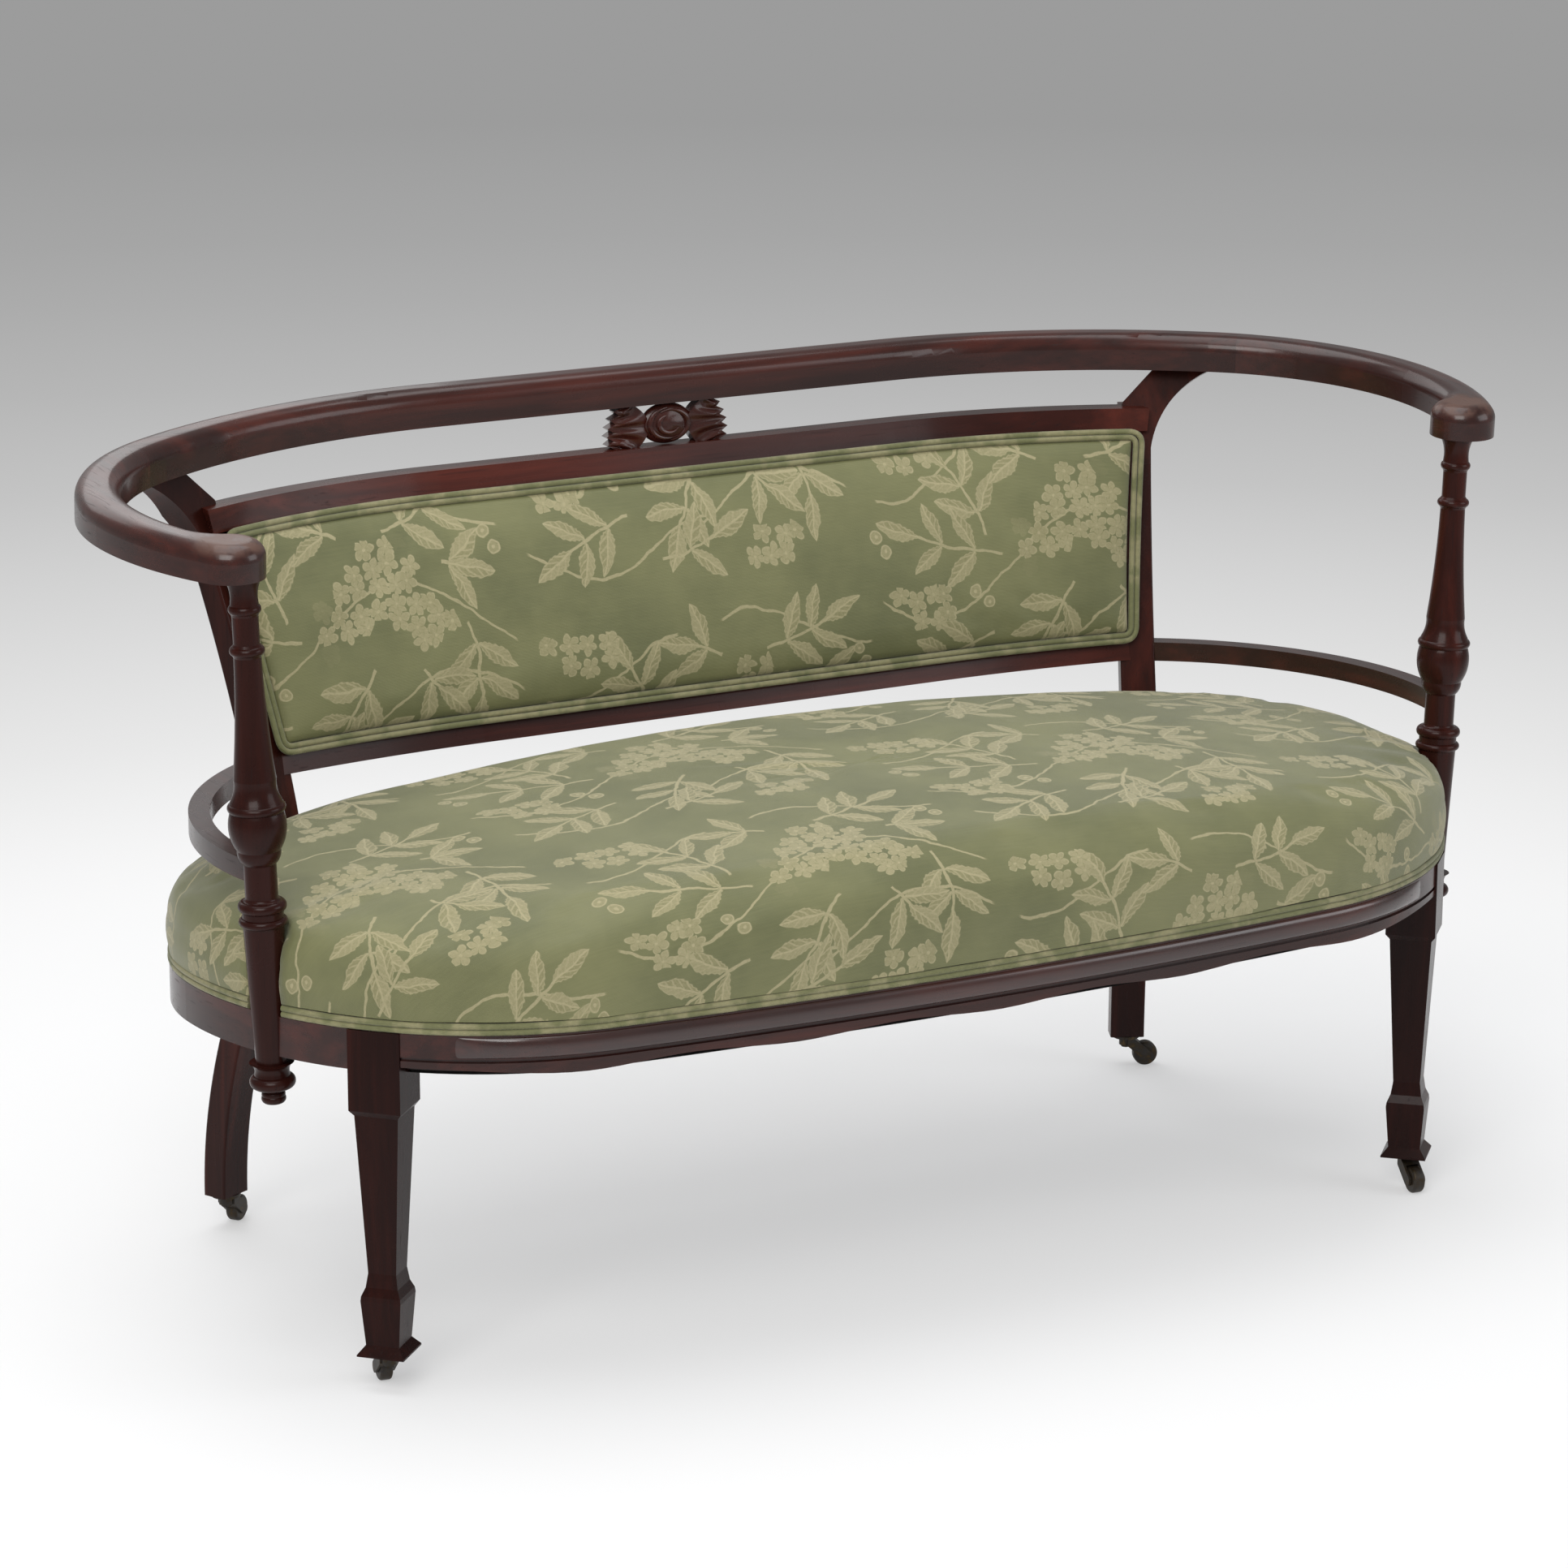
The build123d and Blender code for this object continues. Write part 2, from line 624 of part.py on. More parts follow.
def make_pendant():
    """Turned drop: a cove, a disc and a small ball."""
    tip = PENDANT_TIP_Z - POST_REF_Z
    base = POST_BOTTOM_Z - POST_REF_Z
    ball = PENDANT_R * 0.52
    moves = [
        (ball, tip + 6, 3),
        (ball * 0.92, tip + 10, 0.6),
        (PENDANT_R * 0.8, tip + 13, 0),
        (PENDANT_R * 0.8, tip + 24, 4.2),
        (PENDANT_R * 0.78, tip + 26, 0),
        (PENDANT_R, base, -1.6),
    ]
    return post_place() * turned((ball * 0.45, tip), moves) + pendant_spigot()


def post_room():
    """Space left round the right post by the upholstery."""
    shaft, shaft_top = POST_SHAFT_R + NOTCH_GAP, POST_SHAFT_TOP_R + NOTCH_GAP
    rings = POST_LOW_RING_R + NOTCH_GAP
    base, top = RAIL_BOTTOM_Z - POST_REF_Z, SEAT_CROWN_Z - POST_REF_Z
    step = POST_RINGS_Z - POST_LOW_RING_R / 2 - POST_REF_Z
    moves = [(shaft_top, step, 0), (rings, step, 0), (rings, top, 0)]
    return post_place() * turned((shaft, base), moves)


# Lower arm rails
def make_low_arm():
    """Curved rail from the right stile to the neck of the post."""
    centre = (LOW_ARM_X, LOW_ARM_Y)
    middle_z = LOW_ARM_BOTTOM_Z + LOW_ARM_TALL / 2
    stile_x, stile_y = stile_centre(middle_z)
    start = degrees(atan2(POST_Y - LOW_ARM_Y, POST_X - LOW_ARM_X))
    end = degrees(atan2(stile_y - LOW_ARM_Y, stile_x - LOW_ARM_X))
    radii = (LOW_ARM_R, LOW_ARM_R + LOW_ARM_WIDE)
    edges = [plan_arc(centre, radius, start, end) for radius in radii]
    edges += [Line(*(on_circle(centre, radius, at) for radius in radii)) for at in (start, end)]
    return prism(joined(edges), LOW_ARM_BOTTOM_Z, LOW_ARM_BOTTOM_Z + LOW_ARM_TALL)


# Seat rails and front legs
LEG_DIRECTION = (sin(radians(LEG_AT)), -cos(radians(LEG_AT)))
LEG_OUT = SEAT_END_R + LEG_PROUD - LEG_BLOCK / 2
LEG_X = SEAT_END_X + LEG_OUT * LEG_DIRECTION[0]
LEG_Y = SEAT_END_Y + LEG_OUT * LEG_DIRECTION[1]


def leg_place(z):
    """Frame of the right front leg at a height: +Y points out of the seat."""
    along = (-LEG_DIRECTION[1], LEG_DIRECTION[0], 0)
    return Plane(origin=(LEG_X, LEG_Y, z), x_dir=along, z_dir=(0, 0, -1))


def make_front_leg():
    """Right front leg: block, square taper, spade and flared foot."""
    stations = [
        (FOOT_Z, FLANGE),
        (FOOT_Z + 1.5, FLANGE),
        (FOOT_Z + FLANGE_TALL, SPADE_FOOT),
        (SPADE_Z, SPADE),
        (SPADE_Z + 4, SPADE - 1),
        (LEG_ANKLE_Z - 12, LEG_ANKLE + 3.5),
        (LEG_ANKLE_Z, LEG_ANKLE),
        (LEG_BLOCK_Z - LEG_SHOULDER, LEG_TAPER_TOP),
        (LEG_BLOCK_Z, LEG_BLOCK),
        (RAIL_SHOW_Z, LEG_BLOCK),
    ]
    shaft = loft([leg_place(z) * Rectangle(side, side) for z, side in stations], ruled=True)
    tall = RAIL_TOP_Z - RAIL_SHOW_Z
    deep = LEG_BLOCK - RAIL_REBATE - LEG_PROUD
    head = Pos(0, (deep - LEG_BLOCK) / 2) * Rectangle(LEG_BLOCK, deep)
    return shaft + extrude(leg_place(RAIL_SHOW_Z) * head, amount=-tall)


def leg_room():
    """Cut through the rails for the right front leg."""
    reach = LEG_BLOCK + RAIL_THICK
    cut = Pos(0, -RAIL_THICK / 2 + RAIL_REBATE / 2) * Rectangle(LEG_BLOCK, reach + RAIL_REBATE)
    return extrude(leg_place(0) * cut, amount=-RAIL_TOP_Z)


def rail_ring():
    """Closed ring of all the seat rails, rebated above the show wood."""
    inner = seat_plan(RAIL_THICK)
    return prism(seat_plan(0) - inner, RAIL_BOTTOM_Z, RAIL_SHOW_Z) + prism(
        seat_plan(RAIL_REBATE) - inner, RAIL_SHOW_Z, RAIL_TOP_Z
    )


def front_region():
    """Space that holds the front rail, between the front legs."""
    return Pos(0, LEG_Y, 0) * Box(2 * LEG_X, WIDE, WIDE, align=(Align.CENTER, Align.MAX, Align.CENTER))


def rear_region():
    """Space that holds the rear rail, between the middles of the stiles."""
    return Box(2 * WAIST_X, WIDE, WIDE, align=(Align.CENTER, Align.MIN, Align.CENTER))


def end_region():
    """Space that holds the right end rail, from the front leg to the stile."""
    front_part = Pos(LEG_X, 0, 0) * Box(WIDE, WIDE, WIDE, align=(Align.MIN, Align.CENTER, Align.CENTER))
    rear_part = Pos(WAIST_X, 0, 0) * Box(WIDE, WIDE, WIDE, align=(Align.MIN, Align.MIN, Align.CENTER))
    return front_part + rear_part


def front_wave():
    """Space cut from the front rail's lower edge to leave it serpentine."""
    lip = prism(seat_plan(0) - seat_plan(FRONT_LIP_THICK), RAIL_BOTTOM_Z, RAIL_BOTTOM_Z + 2 * FRONT_WAVE)
    steps = 2 * ceil(LEG_X / FRONT_WAVE_LENGTH)
    points = [
        (step * FRONT_WAVE_LENGTH / 2, 0, RAIL_BOTTOM_Z + FRONT_WAVE * (0.1 + 0.9 * (step % 2)))
        for step in range(-steps, steps + 1)
    ]
    floor = RAIL_BOTTOM_Z - FRONT_WAVE
    corners = [(points[-1][0], 0, floor), (points[0][0], 0, floor)]
    edges = [Spline(*points), Line(points[-1], corners[0]), Line(*corners), Line(corners[1], points[0])]
    return lip & extrude(joined(edges), amount=WIDE, both=True)


def front_groove():
    """Groove of the front rail's moulding."""
    return prism(seat_plan(-GROOVE_DEEP) - seat_plan(GROOVE_DEEP), GROOVE_Z, GROOVE_Z + GROOVE_TALL)


# Upholstery of the seat
def dome(inset):
    """Crowned seat block, drawn in all over by an inset, with a rounded upper edge."""
    crown_z = SEAT_CROWN_Z - inset
    deep_r = SEAT_CROWN_DEEP_R - inset
    long_r = SEAT_CROWN_LONG_R - inset
    axis = Axis((0, 0, crown_z - long_r), (0, 1, 0))
    reach = SEAT_REAR_Y - SEAT_FRONT_Y
    drop = deep_r - sqrt(deep_r**2 - reach**2)
    low = crown_z - drop - reach
    front, back = SEAT_CROWN_Y - reach, SEAT_CROWN_Y + reach
    profile = joined([
        ThreePointArc((0, front, crown_z - drop), (0, SEAT_CROWN_Y, crown_z), (0, back, crown_z - drop)),
        Line((0, back, crown_z - drop), (0, back, low)),
        Line((0, back, low), (0, front, low)),
        Line((0, front, low), (0, front, crown_z - drop)),
    ])
    half_turn = 1.5 * degrees(atan2(SEAT_END_X + SEAT_END_R, long_r))
    barrel = revolve(profile.rotate(axis, -half_turn), axis=axis, revolution_arc=2 * half_turn)
    block = prism(seat_plan(inset - SEAT_BULGE), COVER_BOTTOM_Z, SEAT_CROWN_Z + SEAT_EDGE_R) & barrel
    return fillet(block.faces().sort_by(Axis.Z)[-1].edges(), radius=SEAT_EDGE_R - inset)


def spring_tent(drop):
    """Hessian tent over the springs, lowered by its own thickness for the inside."""
    rise = CANVAS_RISE - drop
    base = Pos(0, 0, RAIL_TOP_Z) * seat_plan(CANVAS_INSET + drop)
    return extrude(base, amount=rise, taper=CANVAS_SLOPE)


def strap_boxes():
    """Crosswise webbing straps."""
    count = int((SEAT_END_X + SEAT_END_R / 2) // WEB_STEP)
    low = RAIL_BOTTOM_Z - WEB_THICK
    field = prism(seat_plan(WEB_INSET), low, RAIL_BOTTOM_Z)
    strap = Pos(0, 0, low) * Box(WEB_WIDE, WIDE, WIDE)
    return [field & (Pos(step * WEB_STEP, 0, 0) * strap) for step in range(-count, count + 1)]


def long_straps():
    """Lengthwise webbing straps, under the crosswise ones."""
    high = RAIL_BOTTOM_Z - WEB_THICK
    field = prism(seat_plan(WEB_INSET), high - WEB_THICK, high)
    middle = (LONG_WEB_COUNT - 1) / 2
    places = [LONG_WEB_Y + (step - middle) * LONG_WEB_STEP for step in range(LONG_WEB_COUNT)]
    return [field & (Pos(0, y, high) * Box(WIDE, WEB_WIDE, WIDE)) for y in places]


def coil_spring():
    """One coil spring, flattened where it stands on the webbing and carries the hessian."""
    low, high = RAIL_BOTTOM_Z, RAIL_TOP_Z + CANVAS_RISE - CANVAS_THICK
    flat = SPRING_WIRE_R / 2
    height = high - low - 2 * flat
    path = Helix(pitch=height / SPRING_TURNS, height=height, radius=SPRING_R)
    wire = Plane(origin=path @ 0, z_dir=path % 0) * Circle(SPRING_WIRE_R)
    coil = Pos(0, 0, low + flat) * sweep(wire, path=path, is_frenet=True)
    reach = 4 * SPRING_R
    return coil & (Pos(0, 0, (low + high) / 2) * Box(reach, reach, high - low))


def spring_places():
    """Centres of the springs: a grid over the webbing crossings."""
    middle = (SPRING_COLUMNS - 1) / 2
    rows = [LONG_WEB_Y + (row - 1) * LONG_WEB_STEP for row in range(LONG_WEB_COUNT)]
    return [((column - middle) * 2 * WEB_STEP, y) for y in rows for column in range(SPRING_COLUMNS)]


def make_seat_piping():
    """Double welt that hides the tacks round the lower edge of the seat cover."""
    lanes = []
    for lane in (0, 1):
        low = RAIL_SHOW_Z + lane * PIPING_STEP
        cord = seat_plan(-PIPING_PROUD) - seat_plan(2 * PIPING_R - PIPING_PROUD)
        lanes.append(prism(cord, low, low + 2 * PIPING_R))
    return lanes


# Corner blocks
def front_block():
    """Glue block behind the right front leg, before the leg and rails are cut out of it."""
    deep = BLOCK_DEEP + BLOCK_LAP
    body = Pos(0, BLOCK_LAP - (LEG_BLOCK + deep) / 2) * Rectangle(BLOCK_LONG, deep)
    return extrude(leg_place(RAIL_TOP_Z - BLOCK_DROP) * body, amount=BLOCK_TALL)


def rear_block():
    """Glue block between the rear rail and the right stile."""
    rail_y = SEAT_REAR_Y - RAIL_THICK
    low = RAIL_TOP_Z - BLOCK_DROP - BLOCK_TALL
    right = WAIST_X - WAIST_WIDE / 2
    size = (BLOCK_LONG, BLOCK_DEEP, BLOCK_TALL)
    return Pos(right, rail_y, low) * Box(*size, align=(Align.MAX, Align.MAX, Align.MIN))


def wood_screw(shank_r, head_r, head_tall, long):
    """Countersunk screw along +Z with its head's face at the origin."""
    head = Cone(head_r, shank_r, head_tall, align=(Align.CENTER, Align.CENTER, Align.MIN))
    return head + extrude(Circle(shank_r), long)


def front_block_screw():
    """Screw through the front block into the leg."""
    middle = RAIL_TOP_Z - BLOCK_DROP - BLOCK_TALL / 2
    back = LEG_BLOCK / 2 + BLOCK_DEEP
    start = (LEG_X - back * LEG_DIRECTION[0], LEG_Y - back * LEG_DIRECTION[1], middle)
    screw = wood_screw(SCREW_R, SCREW_HEAD_R, SCREW_HEAD_TALL, BLOCK_SCREW_LONG)
    return Plane(origin=start, z_dir=(*LEG_DIRECTION, 0)) * screw


def rear_block_screws():
    """Screws through the rear block into the rail."""
    middle = RAIL_TOP_Z - BLOCK_DROP - BLOCK_TALL / 2
    centre_x = WAIST_X - WAIST_WIDE / 2 - BLOCK_LONG / 2
    y = SEAT_REAR_Y - RAIL_THICK - BLOCK_DEEP
    screw = wood_screw(SCREW_R, SCREW_HEAD_R, SCREW_HEAD_TALL, BLOCK_SCREW_LONG)
    places = [(centre_x + side * BLOCK_LONG / 4, y, middle) for side in (-1, 1)]
    return [Plane(origin=place, z_dir=(0, 1, 0)) * screw for place in places]


# Castors, drawn about their swivel axis with the wheel trailing along +X
def plate_screws():
    """Screws of one castor plate."""
    screw = wood_screw(PLATE_SCREW_R, PLATE_SCREW_HEAD_R, PLATE_SCREW_HEAD_TALL, PLATE_SCREW_LONG)
    seat = Pos(0, 0, FOOT_Z - PLATE_THICK) * screw
    turns = [360 / PLATE_SCREWS * step for step in range(PLATE_SCREWS)]
    return [Pos(*on_circle((0, 0), PLATE_SCREW_PCD_R, turn)) * seat for turn in turns]


def castor_plate():
    """Round plate with the riveted spindle that the horn turns on."""
    plate = Pos(0, 0, FOOT_Z - PLATE_THICK) * extrude(Circle(PLATE_R), PLATE_THICK)
    head_top = FOOT_Z - PLATE_THICK - HUB_TALL - 2 * SIDE_CLEAR
    head = Pos(0, 0, head_top - SPINDLE_HEAD_TALL) * extrude(Circle(SPINDLE_HEAD_R), SPINDLE_HEAD_TALL)
    spindle = Pos(0, 0, head_top) * extrude(Circle(SPINDLE_R), FOOT_Z - PLATE_THICK - head_top)
    return plate + spindle + head - plate_screws()


def across(radius, wide):
    """Cylinder along the wheel's axle line."""
    return Pos(TRAIL, 0, WHEEL_R) * Rot(90, 0, 0) * Cylinder(radius, wide)


def castor_horn():
    """Swivelling horn: a hub, a bridge over the wheel and two cheeks."""
    top = FOOT_Z - PLATE_THICK - SIDE_CLEAR
    low = top - HUB_TALL
    inner = WHEEL_WIDE + 2 * SIDE_CLEAR
    outer = inner + 2 * CHEEK_THICK
    hub = Pos(0, 0, low) * extrude(Circle(HUB_R), HUB_TALL)
    side_view = Plane(origin=(0, 0, 0), x_dir=(1, 0, 0), z_dir=(0, -1, 0))
    cheek = make_hull([
        *(Pos(TRAIL, WHEEL_R) * Circle(CHEEK_R)).edges(),
        *Line((0, top), (HUB_R, top)).edges(),
        *Line((0, low), (HUB_R, low)).edges(),
    ])
    cheeks = extrude(side_view * cheek, amount=outer / 2, both=True)
    wheel_room = across(WHEEL_R + WHEEL_ROOM, inner)
    front = Pos(TRAIL, 0, WHEEL_R) * Box(2 * WHEEL_R, inner, 2 * WHEEL_R)
    bore = Pos(0, 0, low) * extrude(Circle(SPINDLE_R + RUN_CLEAR), HUB_TALL)
    head_room = Pos(0, 0, low - WHEEL_R) * extrude(Circle(SPINDLE_HEAD_R + SIDE_CLEAR), WHEEL_R)
    return hub + cheeks - wheel_room - front - bore - head_room - across(AXLE_R, outer)


def castor_axle():
    """Pin through both cheeks of the horn."""
    return across(AXLE_R, WHEEL_WIDE + 2 * SIDE_CLEAR + 2 * CHEEK_THICK)


def castor_wheel():
    """Solid wheel with eased rims."""
    disc = Cylinder(WHEEL_R, WHEEL_WIDE)
    disc = fillet(disc.edges(), radius=WHEEL_ROUND) - Cylinder(AXLE_R + RUN_CLEAR, WHEEL_WIDE)
    return Pos(TRAIL, 0, WHEEL_R) * Rot(90, 0, 0) * disc


CASTOR_PLACES = {
    "left_front": (-LEG_X, LEG_Y),
    "right_front": (LEG_X, LEG_Y),
    "left_rear": (-FOOT_X, FOOT_Y),
    "right_rear": (FOOT_X, FOOT_Y),
}


def group(solids):
    """Solids that share one node."""
    return Compound(children=[piece for solid in solids for piece in solid.solids()])


def largest(shape):
    """The biggest solid that is left of a shape."""
    return shape.solids().sort_by(SortBy.VOLUME)[-1]


def pair(solids):
    """Right-hand solids with their left-hand twins."""
    return solids + [flip(solid) for solid in solids]


def build():
    """Nodes on the middle line by name, and right-hand nodes that also get a left-hand twin."""
    nodes = {}
    right = {}

    # Hoop
    hoop = make_hoop()
    region = arm_region()
    dowels = pair([scarf_dowel()])
    nodes["crest_rail"] = hoop - pair([region]) - dowels
    nodes["crest_dowels"] = group(dowels)
    right["arm_rail"] = (hoop & region) - dowels - post_tenon()

    # Back frame
    stile = make_stile()
    stiles = pair([stile])
    front_castor = Pos(LEG_X, LEG_Y)
    rear_castor = Pos(FOOT_X, FOOT_Y)
    front_screws = [front_castor * screw for screw in plate_screws()]
    rear_screws = [rear_castor * screw for screw in plate_screws()]
    right["rear_stile"] = stile - rear_screws
    nodes["back_top_rail"] = back_rail(TOP_RAIL_Z - TOP_RAIL_TALL, TOP_RAIL_TALL) - stiles
    nodes["back_bottom_rail"] = back_rail(BOTTOM_RAIL_Z, BOTTOM_RAIL_TALL) - stiles
    nodes["carved_splat"] = make_splat()

    # Posts and lower arms
    post = make_post()
    right["arm_post"] = post
    right["post_pendant"] = make_pendant()
    right["lower_arm_rail"] = make_low_arm() - stile - post

    # Seat frame
    leg = make_front_leg()
    rails = rail_ring() - pair([leg_room(), stile, post, pendant_spigot()])
    right["front_leg"] = leg - front_block_screw() - front_screws
    nodes["front_seat_rail"] = (rails & front_region()) - front_wave() - front_groove()
    nodes["rear_seat_rail"] = (rails & rear_region()) - pair(rear_block_screws())
    right["end_rail"] = rails & end_region()
    front_glue = front_block() - leg - rails - front_block_screw()
    rear_glue = rear_block() - rear_block_screws()
    nodes["corner_blocks"] = group(pair([front_glue, rear_glue]))
    nodes["corner_block_screws"] = group(pair([front_block_screw(), *rear_block_screws()]))

    # Seat upholstery
    rooms = pair([post_room(), stile_bar(RAIL_BOTTOM_Z, SEAT_CROWN_Z, NOTCH_GAP)])
    outer, inner = dome(0), dome(CLOTH_THICK)
    tent = spring_tent(0)
    nodes["seat_cover"] = outer - inner - rooms
    on_rails = prism(seat_plan(RAIL_REBATE), COVER_BOTTOM_Z, RAIL_TOP_Z)
    nodes["seat_stuffing"] = inner - on_rails - tent - rooms - pair([leg])
    nodes["spring_canvas"] = tent - spring_tent(CANVAS_THICK) - stiles
    nodes["seat_piping"] = group([tube - rooms for tube in make_seat_piping()])
    feet = pair([leg, stile, post])
    nodes["cross_webbing"] = group([largest(strap - feet) for strap in strap_boxes()])
    nodes["long_webbing"] = group([largest(strap - feet) for strap in long_straps()])
    cloth_z = RAIL_BOTTOM_Z - 2 * WEB_THICK
    cloth = prism(seat_plan(BOTTOM_CLOTH_INSET), cloth_z - BOTTOM_CLOTH_THICK, cloth_z)
    nodes["bottom_cloth"] = cloth - feet
    spring = coil_spring()
    nodes["seat_springs"] = group([Pos(*place) * spring for place in spring_places()])

    # Back upholstery
    low, high = BOTTOM_RAIL_Z + BOTTOM_RAIL_TALL, TOP_RAIL_Z - TOP_RAIL_TALL
    pad, core = pillow(0, 0), pillow(CLOTH_THICK, CLOTH_THICK)
    nodes["back_cover"] = pad - core - stiles
    nodes["back_stuffing"] = (pad & core) - stiles
    canvas = raked_sheet(CANVAS_GAP, CANVAS_GAP + CLOTH_THICK, low, high, panel_half)
    nodes["back_canvas"] = canvas - stiles
    outside = raked_sheet(BACK_RAIL_DEEP - CLOTH_THICK, BACK_RAIL_DEEP, low, high, panel_half)
    nodes["outside_back_cloth"] = outside - stiles
    ahead = [Pos(0, -PIPING_GAP, 0) * solid for solid in stiles]
    nodes["back_piping"] = group([largest(run - stiles - ahead) for run in make_back_piping()])

    # Castors
    right["front_castor_plate"] = front_castor * castor_plate()
    right["rear_castor_plate"] = rear_castor * castor_plate()
    nodes["castor_screws"] = group(pair(front_screws + rear_screws))
    for name, place in CASTOR_PLACES.items():
        rest = Pos(*place) * Rot(0, 0, CASTOR_HEADING[name])
        nodes[name + "_castor_horn"] = rest * castor_horn()
        nodes[name + "_castor_axle"] = rest * castor_axle()
        nodes[name + "_castor_wheel"] = rest * castor_wheel()
    return nodes, right


def main():
    """Write one STEP file for each node."""
    os.makedirs("parts", exist_ok=True)
    nodes, right = build()
    for name, solid in right.items():
        nodes["right_" + name] = solid
        nodes["left_" + name] = flip(solid)
    for name, solid in nodes.items():
        export_step(solid, f"parts/{name}.step")


main()
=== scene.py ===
import bpy
from math import acos, atan2, cos, degrees, hypot, pi, radians, sin, sqrt
from mathutils import Matrix, Vector, noise


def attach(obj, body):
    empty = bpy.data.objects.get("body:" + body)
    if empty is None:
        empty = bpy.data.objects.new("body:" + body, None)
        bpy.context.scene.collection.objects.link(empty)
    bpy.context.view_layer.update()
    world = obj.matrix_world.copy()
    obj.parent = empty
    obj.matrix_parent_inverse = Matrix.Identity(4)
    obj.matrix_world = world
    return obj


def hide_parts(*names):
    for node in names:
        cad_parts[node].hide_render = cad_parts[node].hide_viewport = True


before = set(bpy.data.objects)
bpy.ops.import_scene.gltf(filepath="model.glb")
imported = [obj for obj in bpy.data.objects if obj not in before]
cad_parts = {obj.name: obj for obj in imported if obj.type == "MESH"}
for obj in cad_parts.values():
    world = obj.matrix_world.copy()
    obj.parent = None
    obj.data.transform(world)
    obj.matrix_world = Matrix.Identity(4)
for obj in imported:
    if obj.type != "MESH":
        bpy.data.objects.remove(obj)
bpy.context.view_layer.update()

mm = 0.001
print("frame loaded:", len(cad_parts), "nodes")


# shader sockets as plain expressions

class Wire:
    def __init__(self, tree, out):
        self.tree = tree
        self.out = out

    def feed(self, socket, value):
        if isinstance(value, Wire):
            self.tree.links.new(value.out, socket)
        elif value is not None:
            socket.default_value = value

    def node(self, kind, settings=None, inputs=None, out=0):
        made = self.tree.nodes.new("ShaderNode" + kind)
        for key, value in (settings or {}).items():
            if key == "stops":
                ramp = made.color_ramp
                while len(ramp.elements) < len(value):
                    ramp.elements.new(1.0)
                for stop, (place, colour) in zip(ramp.elements, value):
                    stop.position = place
                    stop.color = (*colour, 1.0)
            else:
                setattr(made, key, value)
        for key, value in (inputs or {}).items():
            self.feed(made.inputs[key], value)
        return Wire(self.tree, made.outputs[out])

    def math(self, operation, *values):
        return self.node("Math", {"operation": operation}, dict(enumerate(values)))

    def __add__(self, other): return self.math("ADD", self, other)
    def __radd__(self, other): return self.math("ADD", other, self)
    def __sub__(self, other): return self.math("SUBTRACT", self, other)
    def __rsub__(self, other): return self.math("SUBTRACT", other, self)
    def __mul__(self, other): return self.math("MULTIPLY", self, other)
    def __truediv__(self, other): return self.math("DIVIDE", self, other)
    def __abs__(self): return self.math("ABSOLUTE", self)
    def fract(self): return self.math("FRACT", self)
    def floor(self): return self.math("FLOOR", self)
    def sine(self): return self.math("SINE", self)
    def top(self, other): return self.math("MAXIMUM", self, other)
    def parts(self): return [self.node("SeparateXYZ", None, {0: self}, out) for out in range(3)]

    def step(self, start, end):
        settings = {"interpolation_type": "SMOOTHSTEP", "clamp": False}
        return self.node("MapRange", settings, {0: self, 1: start, 2: end})

    def mix(self, first, second):
        return self.node("Mix", {"data_type": "RGBA"}, {0: self, 6: first, 7: second}, 2)


def newFinish(name):
    finish = bpy.data.materials.new(name)
    finish.use_nodes = True
    tree = finish.node_tree
    shader = tree.nodes["Principled BSDF"]
    return finish, Wire(tree, None), shader


def setSocket(wire, shader, values):
    for key, value in values.items():
        wire.feed(shader.inputs[key], value)


def rgb(red, green, blue):
    return (red, green, blue, 1.0)


def noiseOf(wire, vector, scale, detail=3.0, rough=0.5, twist=0.0, out=0):
    inputs = {"Vector": vector, "Scale": scale, "Detail": detail, "Roughness": rough, "Distortion": twist}
    return wire.node("TexNoise", None, inputs, out)


def objectPlace(wire):
    return wire.node("TexCoord", None, None, "Object")


def stretch(wire, vector, scale):
    return wire.node("Mapping", None, {"Vector": vector, "Scale": scale})


def tonesOf(wire, tone, stops):
    return wire.node("ValToRGB", {"stops": stops}, {0: tone})


def bumpOf(wire, strength, distance, height):
    return wire.node("Bump", None, {"Strength": strength, "Distance": distance, "Height": height})


def threadOf(place, pitch):
    return (place * (2 * pi / pitch)).sine() * 0.5 + 0.5


def lengthOf(wire, vector):
    return wire.node("VectorMath", {"operation": "LENGTH"}, {0: vector}, 1)


def seenDirectly(wire):
    camera = wire.node("LightPath", None, None, "Is Camera Ray")
    return camera.top(wire.node("LightPath", None, None, "Is Glossy Ray"))


# mahogany: six finishes of one timber, by the run of the grain and the polish, with painted shade on a darker
# copy for the legs and painted light on a lighter copy for the back rails

grainX, grainY, grainZ = range(3)

woodTone = {
    "deep": (0.0110, 0.0030, 0.0022),
    "body": (0.0250, 0.0058, 0.0040),
    "warm": (0.0760, 0.0150, 0.0092),
    # lighter tone of the terminal tops, rubbed wear and painted highlight
    "wornHighlight": rgb(0.105, 0.052, 0.036),
    "pore": rgb(0.0070, 0.0022, 0.0018),
    "stops": ((0.30, "deep"), (0.51, "body"), (0.76, "warm")),
    "gloss": 0.28,
    # noise scales across and along the grain
    "grain": (26.0, 1.6),
    "pores": (420.0, 14.0),
    # rubbed tops of the arm terminals, lighter as wear and as a painted highlight: place, squared reach and
    # height, in metres
    "terminal": (0.594, -0.122),
    "rubbedHighlightReach": (0.0021, 0.0004),
    "rubbedHighlightZ": (0.698, 0.704),
}


def grainScale(along, across, down):
    scale = [across] * 3
    scale[along] = down
    return scale


